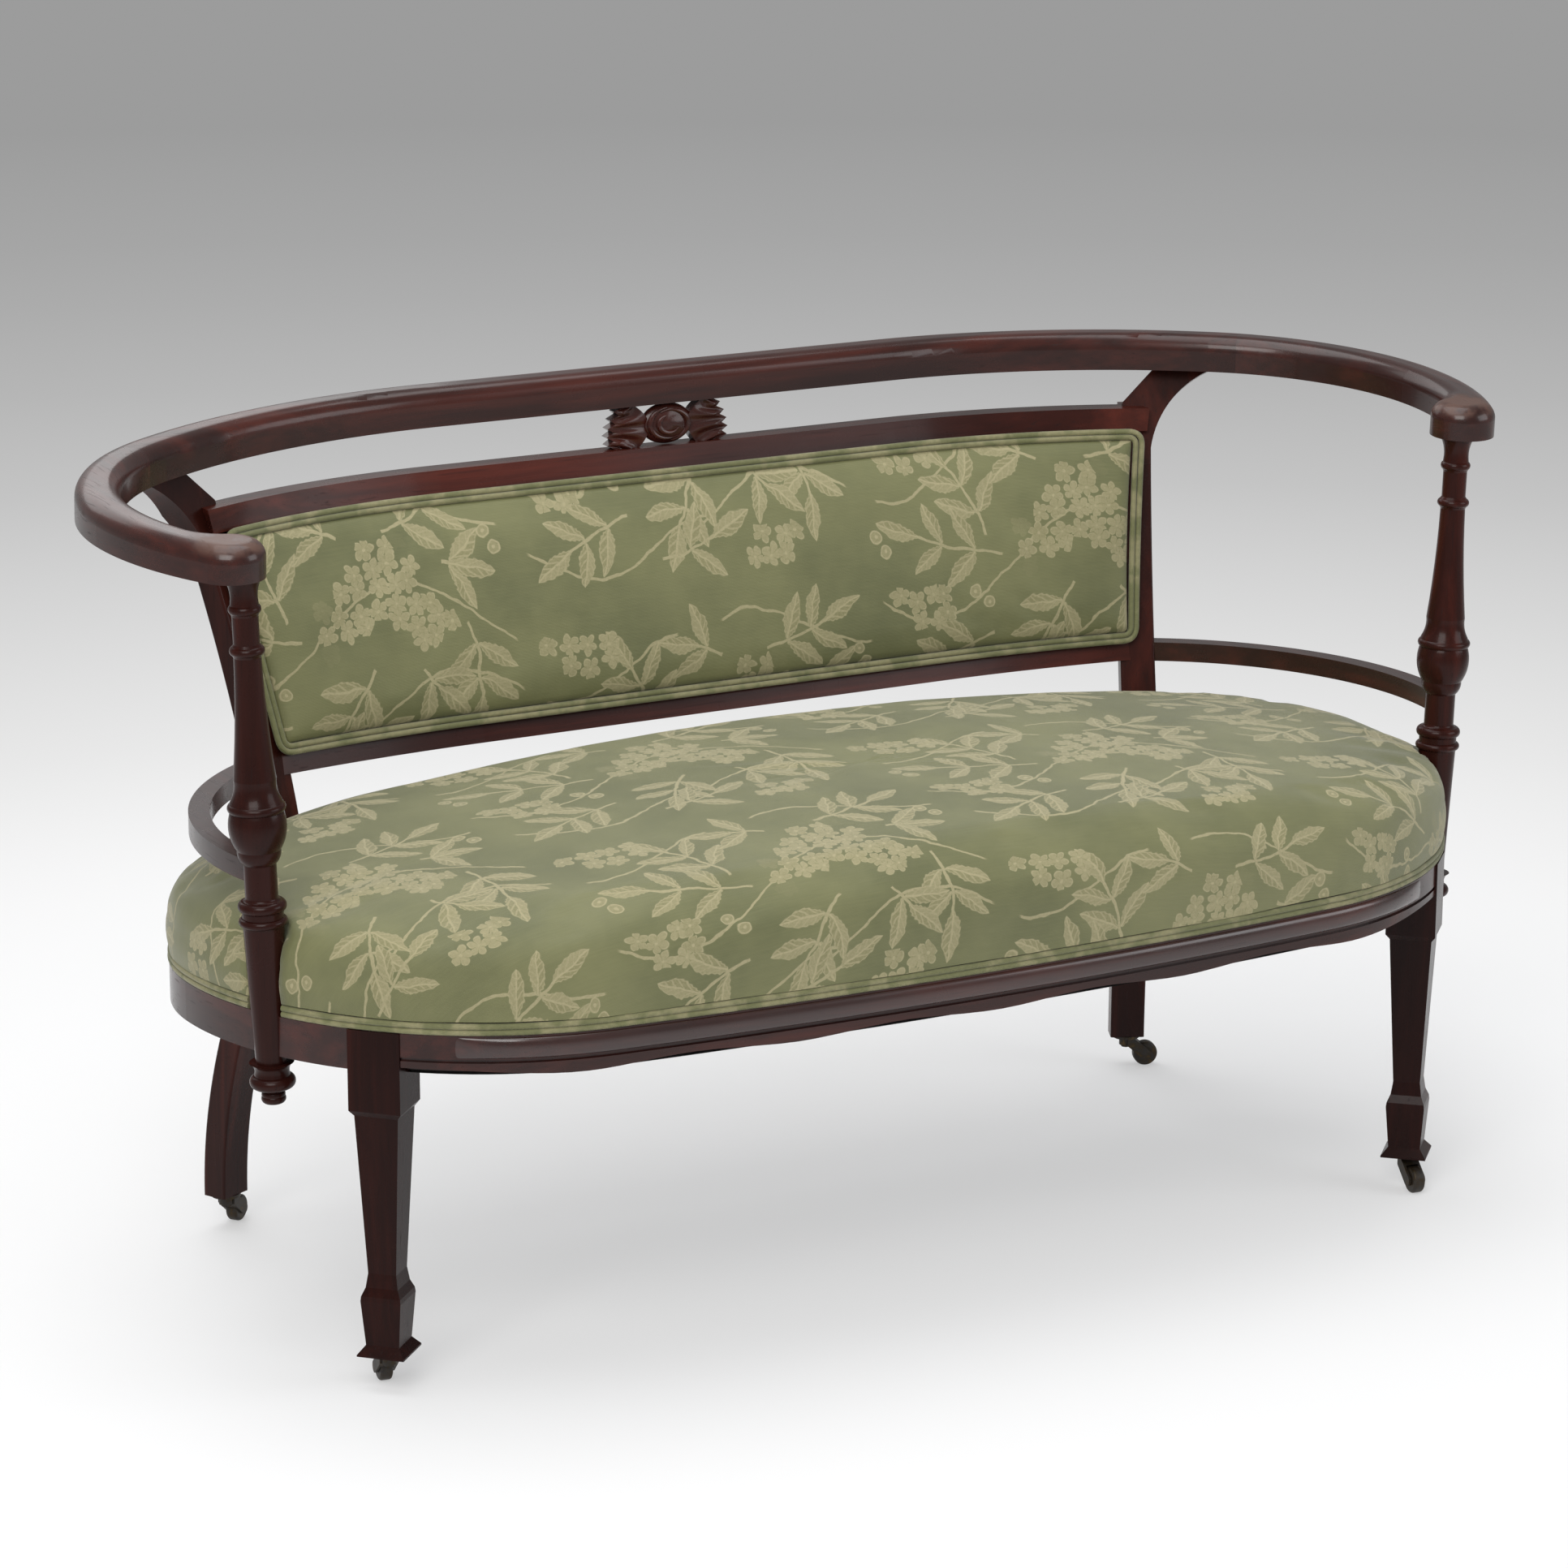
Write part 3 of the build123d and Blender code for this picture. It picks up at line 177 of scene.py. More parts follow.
def makeMahogany(name, along, gloss, terminals=False, paintedLightScale=1.0):
    finish, wire, shader = newFinish(name)
    place = objectPlace(wire)
    grain = stretch(wire, place, grainScale(along, *woodTone["grain"]))
    pores = stretch(wire, place, grainScale(along, *woodTone["pores"]))
    figure = noiseOf(wire, grain, 1.0, 5.0, 0.56, 0.9)
    streak = noiseOf(wire, grain, 4.3, 3.0, 0.6, 0.2)
    cloud = noiseOf(wire, place, 5.0, 3.0, 0.55)
    pore = noiseOf(wire, pores, 1.0, 2.0, 0.6).step(0.60, 0.72)
    tone = figure * 0.62 + streak * 0.22 + cloud * 0.22
    # a scale below 1 darkens the tones as painted shade, above 1 lightens them as painted light
    stops = [(spot, tuple(part * paintedLightScale for part in woodTone[key])) for spot, key in woodTone["stops"]]
    colour = tonesOf(wire, tone, stops)
    colour = (pore * 0.35).mix(colour, woodTone["pore"])
    rub = noiseOf(wire, place, 34.0, 4.0, 0.62)
    wearAndHighlight = 0.0
    # terminal tops: a lighter, rougher patch, partly rubbed wear and partly a painted highlight
    if terminals:
        across, deep, tall = place.parts()
        aside = abs(across) - woodTone["terminal"][0]
        ahead = deep - woodTone["terminal"][1]
        near = (aside * aside + ahead * ahead).step(*woodTone["rubbedHighlightReach"]) * tall.step(*woodTone["rubbedHighlightZ"])
        wearAndHighlight = near * rub.step(0.30, 0.55)
        colour = (wearAndHighlight * 0.75).mix(colour, woodTone["wornHighlight"])
    haze = noiseOf(wire, place, 11.0, 4.0, 0.6)
    rough = haze * 0.2 + rub * 0.08 + pore * 0.16 + (woodTone["gloss"] - 0.14) + wearAndHighlight * 0.3
    bump = bumpOf(wire, 0.06, 0.0004, streak * 0.5 - pore * 0.4 + rub * 0.15)
    setSocket(wire, shader, {"Base Color": colour, "Roughness": rough, "Normal": bump,
                             "Specular IOR Level": gloss,
                             "Coat Weight": gloss * 0.65, "Coat Roughness": 0.10})
    return finish


mahoganyUp = makeMahogany("mahoganyUp", grainZ, 0.12)
# legs: a darker copy of the same wood, painted shade low under the seat
mahoganyLegShaded = makeMahogany("mahoganyLegShaded", grainZ, 0.09, paintedLightScale=0.55)
mahoganyLong = makeMahogany("mahoganyLong", grainX, 0.31)
# back rails: a lighter copy of the same wood, painted light
mahoganyBackLit = makeMahogany("mahoganyBackLit", grainX, 0.15, paintedLightScale=1.45)
mahoganyBead = makeMahogany("mahoganyBead", grainX, 0.60)
mahoganyDeep = makeMahogany("mahoganyDeep", grainY, 0.36, terminals=True)


# plain timber of the hidden frame, brass of the castors, steel and undercloths

def makeBeech():
    finish, wire, shader = newFinish("beechRail")
    grain = stretch(wire, objectPlace(wire), (3.0, 60.0, 60.0))
    tone = noiseOf(wire, grain, 1.0, 5.0, 0.6, 0.4)
    colour = tonesOf(wire, tone, [(0.3, (0.13, 0.062, 0.028)), (0.7, (0.30, 0.17, 0.085))])
    setSocket(wire, shader, {"Base Color": colour, "Roughness": tone * 0.2 + 0.55,
                             "Normal": bumpOf(wire, 0.2, 0.0008, tone)})
    return finish


def makeBrass():
    finish, wire, shader = newFinish("agedBrass")
    place = objectPlace(wire)
    patina = noiseOf(wire, place, 160.0, 5.0, 0.62)
    scratch = noiseOf(wire, stretch(wire, place, (1400.0, 900.0, 260.0)), 1.0, 2.0)
    colour = tonesOf(wire, patina, [(0.34, (0.012, 0.009, 0.007)), (0.54, (0.032, 0.023, 0.014)),
                                    (0.74, (0.105, 0.072, 0.036))])
    setSocket(wire, shader, {"Base Color": colour, "Metallic": patina.step(0.40, 0.66) * 0.75 + 0.15,
                             "Roughness": 0.62 - patina * 0.35 + scratch * 0.12,
                             "Normal": bumpOf(wire, 0.2, 0.0003, patina + scratch * 0.3)})
    return finish


def makeSteel():
    finish, wire, shader = newFinish("springSteel")
    tone = noiseOf(wire, objectPlace(wire), 220.0, 4.0, 0.6)
    colour = tonesOf(wire, tone, [(0.35, (0.10, 0.095, 0.09)), (0.65, (0.26, 0.25, 0.24))])
    setSocket(wire, shader, {"Base Color": colour, "Metallic": 0.9, "Roughness": tone * 0.3 + 0.28})
    return finish


def makeLinen(name, dark, light, thread):
    finish, wire, shader = newFinish(name)
    place = objectPlace(wire)
    across, deep, tall = place.parts()
    warp = threadOf(across, thread)
    weave = warp.top(threadOf(deep + tall, thread))
    blotch = noiseOf(wire, place, 9.0, 4.0, 0.6)
    slub = noiseOf(wire, stretch(wire, place, (30.0, 900.0, 900.0)), 1.0, 2.0)
    tone = weave * 0.45 + blotch * 0.4 + slub * 0.25
    colour = tonesOf(wire, tone, [(0.25, dark), (0.85, light)])
    setSocket(wire, shader, {"Base Color": colour, "Roughness": 0.92, "Sheen Weight": 0.15,
                             "Normal": bumpOf(wire, 0.35, 0.0005, weave + slub * 0.4)})
    return finish


beechRail = makeBeech()
agedBrass = makeBrass()
springSteel = makeSteel()
blackLinen = makeLinen("blackLinen", (0.020, 0.018, 0.016), (0.055, 0.050, 0.043), 0.0011)
sageLining = makeLinen("sageLining", (0.070, 0.076, 0.030), (0.150, 0.152, 0.066), 0.0012)
paleHessian = makeLinen("paleHessian", (0.15, 0.10, 0.055), (0.34, 0.25, 0.15), 0.0018)


# damask: sage satin ground with cream sprays, drawn in the cloth's own metres

damask = {
    "tile": (0.36, 0.29),
    "ground": (0.170, 0.171, 0.069),
    "shade": (0.092, 0.099, 0.035),
    "cream": (0.390, 0.345, 0.200),
    "tan": (0.200, 0.188, 0.086),
    "thread": 0.00075,
    "weftStretch": 1.3,
    "twill": 0.0016,
    "wobble": 0.009,
    # leafy sprays: x and y of the foot, turn in degrees, length, bend, pairs of leaves
    "sprays": [(-0.052, 0.022, 104, 0.082, 0.014, 2), (-0.040, 0.004, 172, 0.104, -0.014, 2),
               (0.128, 0.000, -78, 0.082, -0.014, 2), (0.030, -0.030, -132, 0.078, 0.014, 2),
               (0.062, 0.088, 12, 0.080, 0.010, 2), (-0.058, -0.070, 196, 0.082, 0.012, 2),
               (-0.030, -0.112, 8, 0.074, 0.014, 1), (0.014, 0.088, 152, 0.036, 0.006, 1),
               (0.112, 0.054, -14, 0.020, 0.0, 1), (0.078, -0.036, -60, 0.034, 0.006, 1)],
    "leafHalf": (0.0225, 0.0086),
    "leafLean": 52,
    # clusters of florets: x, y, half width, half height, turn
    "clusters": [(0.046, 0.046, 0.044, 0.034, 24), (0.088, 0.012, 0.032, 0.026, -30),
                 (0.004, 0.012, 0.028, 0.024, 40), (-0.126, 0.110, 0.036, 0.022, -12),
                 (0.082, -0.112, 0.032, 0.022, 10), (-0.122, -0.036, 0.034, 0.020, -8)],
    "florets": 56.0,
    "berries": [(0.158, 0.076), (0.166, 0.062), (-0.168, 0.030),
                (-0.160, 0.016), (-0.072, -0.028), (-0.060, -0.040)],
    "berryRadius": 0.0070,
    # trailing stems: x from, x to, height, swing, waves per metre, phase
    "stems": [(-0.17, 0.17, -0.004, 0.046, 2.8, 0.5), (-0.16, 0.03, -0.100, 0.022, 4.4, 1.0),
              (0.00, 0.17, -0.070, 0.030, 3.6, -0.9), (-0.16, -0.03, 0.086, 0.026, 4.2, 2.2),
              (0.02, 0.17, 0.104, 0.022, 4.0, 0.4)],
    "stemHalf": 0.0015,
}


def sprayLeaves(x, y, turn, length, bend, pairs):
    long, wide = damask["leafHalf"]
    leaves = []
    for step in range(pairs + 1):
        share = (step + 0.75) / (pairs + 1)
        along, across = length * share, bend * share * share
        for side in ((1, -1) if step < pairs else (0,)):
            lean = turn + side * damask["leafLean"] + degrees(2 * bend * share / length)
            grown = (1.10 - 0.22 * share) * (1.15 if side == 0 else 1.0)
            reach = long * grown * (1.0 if side else 0.55)
            px = along * cos(radians(turn)) - across * sin(radians(turn)) + reach * cos(radians(lean))
            py = along * sin(radians(turn)) + across * cos(radians(turn)) + reach * sin(radians(lean))
            leaves.append((x + px, y + py, long * grown, wide * grown, lean))
    return leaves


def motifPlace(wire, cloth, x, y, long, wide, turn=0):
    inputs = {0: cloth, 1: (x, y, 0), 2: (0, 0, radians(turn)), 3: (long, wide, 1)}
    return wire.node("Mapping", {"vector_type": "TEXTURE"}, inputs)


def drawSprayStem(wire, cloth, x, y, turn, length, bend):
    along, across, _ = motifPlace(wire, cloth, x, y, length, length, turn).parts()
    half = damask["stemHalf"] / length
    line = abs(across - along * along * (bend / length)).step(half * 1.3, half * 0.7)
    inside = line * along.step(-0.02, 0.0) * along.step(1.0, 0.97)
    return inside, inside * 0.85


def drawLeaf(wire, cloth, x, y, long, wide, turn):
    along, across, _ = motifPlace(wire, cloth, x, y, long, wide, turn).parts()
    side = abs(across)
    edge = 1 - along * along - side + ((along * 22 + side * 9).sine() * 0.05)
    inside = edge.step(0.0, 0.16)
    rim = edge.step(0.32, 0.10) * 0.9
    rib = side.step(0.16, 0.05)
    veins = (along * 17 - side * 9).sine().step(0.2, 0.9) * 0.7
    half = across.step(-0.1, 0.1) * 0.36 + 0.10
    return inside, inside * rim.top(rib).top(veins).top(half)


def drawClusters(wire, tile):
    scale = damask["florets"]
    cells = {"Vector": tile, "Scale": scale, "Randomness": 0.62}
    spot = wire.node("TexVoronoi", {"voronoi_dimensions": "2D"}, cells, "Position")
    shade = wire.node("TexVoronoi", {"voronoi_dimensions": "2D"}, cells, "Color").parts()[0]
    grown = None
    for x, y, wide, tall, turn in damask["clusters"]:
        within = lengthOf(wire, motifPlace(wire, spot, x, y, wide, tall, turn)).step(1.02, 0.98)
        grown = within if grown is None else grown.top(within)
    away = wire.node("VectorMath", {"operation": "SUBTRACT"}, {0: tile, 1: spot})
    far = lengthOf(wire, away) * scale
    across, up, _ = away.parts()
    petal = abs((wire.math("ARCTAN2", up, across) * 2.5 + shade * 6.0).sine())
    inside = (petal * 0.24 + 0.42 - far).step(0.0, 0.09) * grown
    rim = (petal * 0.24 + 0.42 - far).step(0.20, 0.07)
    crease = petal.step(0.34, 0.08) * far.step(0.10, 0.24)
    eye = far.step(0.12, 0.06)
    return inside, inside * rim.top(eye).top(0.34 + shade * 0.35) * (1 - crease * 0.75)


def drawBerry(wire, cloth, x, y, radius):
    far = lengthOf(wire, motifPlace(wire, cloth, x, y, radius, radius))
    inside = far.step(1.0, 0.82)
    return inside, inside * far.step(0.55, 0.80).top(far.step(0.34, 0.18)).top(0.3)


def drawStem(across, up, start, end, height, swing, waves, phase):
    line = (across * (2 * pi * waves) + phase).sine() * swing + height
    inside = abs(up - line).step(damask["stemHalf"] * 1.25, damask["stemHalf"] * 0.7)
    span = across.step(start - 0.004, start) * across.step(end + 0.004, end)
    return inside * span, inside * span * 0.8


def makeDamask():
    finish, wire, shader = newFinish("sageDamask")
    cloth = wire.node("UVMap", {"uv_map": "cloth"})
    across, up, _ = cloth.parts()
    wide, tall = damask["tile"]
    column = (across / wide).floor()
    shifted = up + (column * 0.5).fract() * tall
    tileX = ((across / wide).fract() - 0.5) * wide
    tileY = ((shifted / tall).fract() - 0.5) * tall
    wobble = noiseOf(wire, cloth, 46.0, 2.0, 0.5, 0.0, 1)
    swing = damask["wobble"]
    shift = {0: wobble, 1: (swing, swing, 0), 2: (-swing / 2, -swing / 2, 0)}
    bend = wire.node("VectorMath", {"operation": "MULTIPLY_ADD"}, shift)
    flat = wire.node("CombineXYZ", None, {0: tileX, 1: tileY})
    tile = wire.node("VectorMath", {"operation": "ADD"}, {0: flat, 1: bend})
    bentX, bentY, _ = tile.parts()
    motif, light = drawStem(bentX, bentY, *damask["stems"][0])

    def lay(shape):
        inside, shine = shape
        return motif.top(inside), light * (1 - inside) + shine

    for stem in damask["stems"][1:]:
        motif, light = lay(drawStem(bentX, bentY, *stem))
    for spray in damask["sprays"]:
        motif, light = lay(drawSprayStem(wire, tile, *spray[:5]))
        for leaf in sprayLeaves(*spray):
            motif, light = lay(drawLeaf(wire, tile, *leaf))
    motif, light = lay(drawClusters(wire, tile))
    for berry in damask["berries"]:
        motif, light = lay(drawBerry(wire, tile, *berry, damask["berryRadius"]))
    warp = threadOf(across, damask["thread"])
    weft = threadOf(up, damask["thread"] * damask["weftStretch"])
    cloud = noiseOf(wire, cloth, 7.0, 4.0, 0.6)
    slub = noiseOf(wire, stretch(wire, cloth, (38.0, 520.0, 1.0)), 1.0, 2.0)
    groundTone = cloud.step(0.28, 0.70) * 0.72 + slub * 0.36
    ground = groundTone.mix(rgb(*damask["shade"]), rgb(*damask["ground"]))
    speckle = noiseOf(wire, cloth, 430.0, 2.0, 0.6)
    creamTone = light * 0.80 + weft * 0.10 + (speckle - 0.5) * 0.75 + slub * 0.16
    cream = creamTone.mix(rgb(*damask["tan"]), rgb(*damask["cream"]))
    edgeWear = noiseOf(wire, cloth, 300.0, 3.0, 0.6).step(0.25, 0.42)
    colour = (motif * (edgeWear * 0.30 + 0.52)).mix(ground, cream)
    height = warp * weft * 0.5 + slub * 0.4
    setSocket(wire, shader, {"Base Color": colour, "Roughness": motif * 0.22 + 0.50 + cloud * 0.08,
                             "Sheen Weight": 0.22, "Sheen Roughness": 0.45,
                             "Normal": bumpOf(wire, 0.45, 0.0007, height)})
    return finish


def makeWeltCloth():
    finish, wire, shader = newFinish("weltCloth")
    place = objectPlace(wire)
    patch = noiseOf(wire, place, 26.0, 3.0, 0.6).step(0.44, 0.58) * 0.55
    speck = noiseOf(wire, place, 260.0, 3.0, 0.6)
    across, deep, tall = place.parts()
    twill = threadOf(across + deep + tall, damask["twill"])
    ground = speck.mix(rgb(*damask["shade"]), rgb(*damask["ground"]))
    cream = speck.mix(rgb(*damask["tan"]), rgb(*damask["cream"]))
    setSocket(wire, shader, {"Base Color": patch.mix(ground, cream), "Roughness": 0.7, "Sheen Weight": 0.2,
                             "Normal": bumpOf(wire, 0.4, 0.0005, twill + speck)})
    return finish


sageDamask = makeDamask()
weltCloth = makeWeltCloth()
print("finishes made")


# shared ways of working

def soleSelect(obj):
    bpy.ops.object.select_all(action="DESELECT")
    obj.select_set(True)
    bpy.context.view_layer.objects.active = obj


def applyAll(obj):
    soleSelect(obj)
    for modifier in list(obj.modifiers):
        bpy.ops.object.modifier_apply(modifier=modifier.name)


def addGrid(columns, rows):
    bpy.ops.object.select_all(action="DESELECT")
    bpy.ops.mesh.primitive_grid_add(x_subdivisions=columns, y_subdivisions=rows, size=2.0)
    return bpy.context.object


def addBall(segments, rings):
    bpy.ops.object.select_all(action="DESELECT")
    bpy.ops.mesh.primitive_uv_sphere_add(segments=segments, ring_count=rings, radius=1.0)
    return bpy.context.object


def editWhole(change, **settings):
    bpy.ops.object.mode_set(mode="EDIT")
    bpy.ops.mesh.select_all(action="SELECT")
    change(**settings)
    bpy.ops.object.mode_set(mode="OBJECT")


def makeCord(points, radius, closed=False, swell=None):
    bpy.ops.object.select_all(action="DESELECT")
    bpy.ops.curve.primitive_nurbs_path_add()
    curve = bpy.context.object.data
    curve.splines.clear()
    spline = curve.splines.new("POLY")
    spline.points.add(len(points) - 1)
    for at, (x, y, z) in enumerate(points):
        spline.points[at].co = (x * mm, y * mm, z * mm, 1.0)
        if swell:
            spline.points[at].radius = swell[at]
    spline.use_cyclic_u = closed
    curve.dimensions = "3D"
    curve.bevel_depth = radius * mm
    curve.bevel_resolution = 3
    curve.use_fill_caps = True
    bpy.ops.object.convert(target="MESH")
    return bpy.context.object


def joinAll(made):
    bpy.ops.object.select_all(action="DESELECT")
    for obj in made:
        obj.select_set(True)
    bpy.context.view_layer.objects.active = made[0]
    if len(made) > 1:
        bpy.ops.object.join()
    return bpy.context.object


def settle(obj, name, finish, smooth):
    soleSelect(obj)
    bpy.ops.object.transform_apply(location=True, rotation=True, scale=True)
    obj.name = name
    obj.data.name = name
    obj.data.materials.clear()
    obj.data.materials.append(finish)
    bpy.ops.object.shade_smooth_by_angle(angle=radians(smooth))
    return obj


def dressNode(name, finish):
    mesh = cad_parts[name].data
    mesh.materials.clear()
    mesh.materials.append(finish)


for side in ("left", "right"):
    for name in ("rear_stile", "arm_post", "post_pendant"):
        dressNode(f"{side}_{name}", mahoganyUp)
    dressNode(f"{side}_front_leg", mahoganyLegShaded)
    for name in ("arm_rail", "end_rail", "lower_arm_rail"):
        dressNode(f"{side}_{name}", mahoganyDeep)
    for end in ("front", "rear"):
        for name in ("plate", "horn", "axle", "wheel"):
            dressNode(f"{side}_{end}_castor_{name}", agedBrass)
for name in ("crest_rail", "front_seat_rail", "rear_seat_rail", "carved_splat"):
    dressNode(name, mahoganyLong)
for name in ("back_top_rail", "back_bottom_rail"):
    dressNode(name, mahoganyBackLit)
for name in ("corner_blocks", "crest_dowels"):
    dressNode(name, beechRail)
for name in ("corner_block_screws", "castor_screws", "seat_springs"):
    dressNode(name, springSteel)
for name in ("cross_webbing", "long_webbing", "spring_canvas",
             "seat_stuffing", "back_stuffing", "back_canvas"):
    dressNode(name, paleHessian)
print("frame dressed")


# seat plan, in millimetres: bowed front, round ends, straight rear

plan = {"frontY": -310.0, "rearY": 165.0, "endX": 322.0, "endY": -10.0, "endR": 285.0}

rearR = plan["rearY"] - plan["endY"]
rearX = plan["endX"] + plan["endR"] - rearR
frontDrop = plan["endY"] - plan["frontY"]
bowR = (plan["endX"] ** 2 + frontDrop ** 2 - plan["endR"] ** 2) / (2 * (frontDrop - plan["endR"]))
bowY = plan["frontY"] + bowR
bowTurn = atan2(plan["endY"] - bowY, plan["endX"])
planRuns = [((0.0, bowY), bowR, -pi / 2, bowTurn),
            ((plan["endX"], plan["endY"]), plan["endR"], bowTurn, 0.0),
            ((rearX, plan["endY"]), rearR, 0.0, pi / 2)]
planHalf = sum(radius * (end - start) for _, radius, start, end in planRuns) + rearX


def outlineAt(way):
    way %= 2 * planHalf
    hand = 1 if way <= planHalf else -1
    way = min(way, 2 * planHalf - way)
    for centre, radius, start, end in planRuns:
        length = radius * (end - start)
        if way <= length:
            at = start + way / radius
            x, y = centre[0] + radius * cos(at), centre[1] + radius * sin(at)
            return hand * x, y, hand * cos(at), sin(at)
        way -= length
    return hand * (rearX - way), plan["rearY"], 0.0, 1.0


def seatOutline(count):
    return [outlineAt(2 * planHalf * step / count) for step in range(count)]


# rear stile centre line, in millimetres, for the notches and the back panel

stile = {"turn": radians(26.0), "deep": 24.0, "curveX": 1.6, "curveY": 1.25,
         "waistZ": 330.0, "waistX": 442.0, "waistY": 158.0, "waistWide": 34.0,
         "topZ": 657.0, "topX": 481.8, "topY": 241.4, "topWide": 30.0}


def stileAt(z):
    up = max(0.0, (z - stile["waistZ"]) / (stile["topZ"] - stile["waistZ"]))
    x = stile["waistX"] + (stile["topX"] - stile["waistX"]) * up ** stile["curveX"]
    y = stile["waistY"] + (stile["topY"] - stile["waistY"]) * up ** stile["curveY"]
    return x, y, stile["waistWide"] + (stile["topWide"] - stile["waistWide"]) * up


def inStile(x, y, z, room):
    centreX, centreY, wide = stileAt(z)
    acrossX, acrossY = cos(stile["turn"]), -sin(stile["turn"])
    dx, dy = abs(x) - centreX, y - centreY
    aside, ahead = abs(dx * acrossX + dy * acrossY), abs(-dx * acrossY + dy * acrossX)
    return aside < wide / 2 + room and ahead < stile["deep"] / 2 + room


# arm post, in millimetres: place at z, lean, tapered shaft and the rings above it

post = {"x": 584.3, "y": -121.8, "z": 423.0, "lean": 0.035, "footZ": 272.0, "shaft": 13.0, "shaftTop": 16.8,
        "ring": 20.5, "ringZ": 387.0, "ringRun": 12.0}


def inPost(x, y, z, room):
    centreX = post["x"] + post["lean"] * (z - post["z"])
    rise = min(1.0, max(0.0, (z - post["footZ"]) / (post["ringZ"] - post["footZ"])))
    shaft = post["shaft"] + (post["shaftTop"] - post["shaft"]) * rise
    blend = min(1.0, max(0.0, (z - post["ringZ"] + post["ringRun"]) / post["ringRun"]))
    return hypot(abs(x) - centreX, y - post["y"]) < shaft + (post["ring"] - shaft) * blend + room


def inWood(x, y, z, room):
    return inPost(x, y, z, room) or inStile(x, y, z, room)


# sprung seat

seat = {"lowZ": 325.0, "crownZ": 437.0, "crownY": -45.0, "middleY": -72.0, "longR": 3700.0, "deepR": 2100.0,
        "edgeR": 40.0, "bulge": 2.5, "wave": 1.6, "pucker": 1.1,
        "segments": 320, "rings": 84, "topRings": 44, "edgeRings": 14, "sideRings": 8, "ringEase": 0.85,
        "flatRings": 16, "tackRings": 4, "room": 1.2, "clearZ": 440.0, "longestPull": 70,
        "pressure": 1.6, "frames": 14, "cap": 4.0}


def crownAt(x, y):
    return seat["crownZ"] - x * x / (2 * seat["longR"]) - (y - seat["crownY"]) ** 2 / (2 * seat["deepR"])


def towardMiddle(x, y, share):
    return x * share, seat["middleY"] + (y - seat["middleY"]) * share


def seatPoint(outline, ring):
    x, y, nx, ny = outline
    edge = seat["edgeR"]
    innerX, innerY = x - edge * nx, y - edge * ny
    topZ = crownAt(innerX, innerY)
    if ring <= seat["topRings"]:
        px, py = towardMiddle(innerX, innerY, (ring / seat["topRings"]) ** seat["ringEase"])
        return px, py, crownAt(px, py)
    ring -= seat["topRings"]
    if ring <= seat["edgeRings"]:
        turn = pi / 2 * ring / seat["edgeRings"]
        out = edge * sin(turn)
        return innerX + out * nx, innerY + out * ny, topZ - edge * (1 - cos(turn))
    ring -= seat["edgeRings"]
    if ring <= seat["sideRings"]:
        share = ring / seat["sideRings"]
        out = seat["bulge"] * sin(pi * share) * (1 - 0.4 * share)
        z = (topZ - edge) + (seat["lowZ"] - topZ + edge) * share
        return x + out * nx, y + out * ny, z
    rest = seat["rings"] - seat["topRings"] - seat["edgeRings"] - seat["sideRings"]
    share = 1 - (ring - seat["sideRings"]) / rest
    return *towardMiddle(x, y, share), seat["lowZ"]


def clothSettle(obj, pinned, spec):
    start = [vertex.co.copy() for vertex in obj.data.vertices]
    group = obj.vertex_groups.new(name="tacked")
    group.add(pinned, 1.0, "REPLACE")
    cloth = obj.modifiers.new("stuffed", "CLOTH")
    cloth.settings.quality = 5
    cloth.settings.mass = 0.25
    cloth.settings.tension_stiffness = 22
    cloth.settings.compression_stiffness = 22
    cloth.settings.bending_stiffness = 3.0
    cloth.settings.use_pressure = True
    cloth.settings.uniform_pressure_force = spec["pressure"]
    cloth.settings.vertex_group_mass = "tacked"
    cloth.settings.effector_weights.gravity = 0
    cloth.point_cache.frame_start = 1
    cloth.point_cache.frame_end = spec["frames"]
    for step in range(1, spec["frames"] + 1):
        bpy.context.scene.frame_set(step)
    applyAll(obj)
    bpy.context.scene.frame_set(1)
    for vertex, before in zip(obj.data.vertices, start):
        move = vertex.co - before
        if move.length > spec["cap"] * mm:
            vertex.co = before + move.normalized() * spec["cap"] * mm
    obj.vertex_groups.clear()


def writeCloth(obj, spread):
    layer = obj.data.uv_layers.get("cloth") or obj.data.uv_layers.new(name="cloth")
    for loop in obj.data.loops:
        layer.data[loop.index].uv = spread[loop.vertex_index]


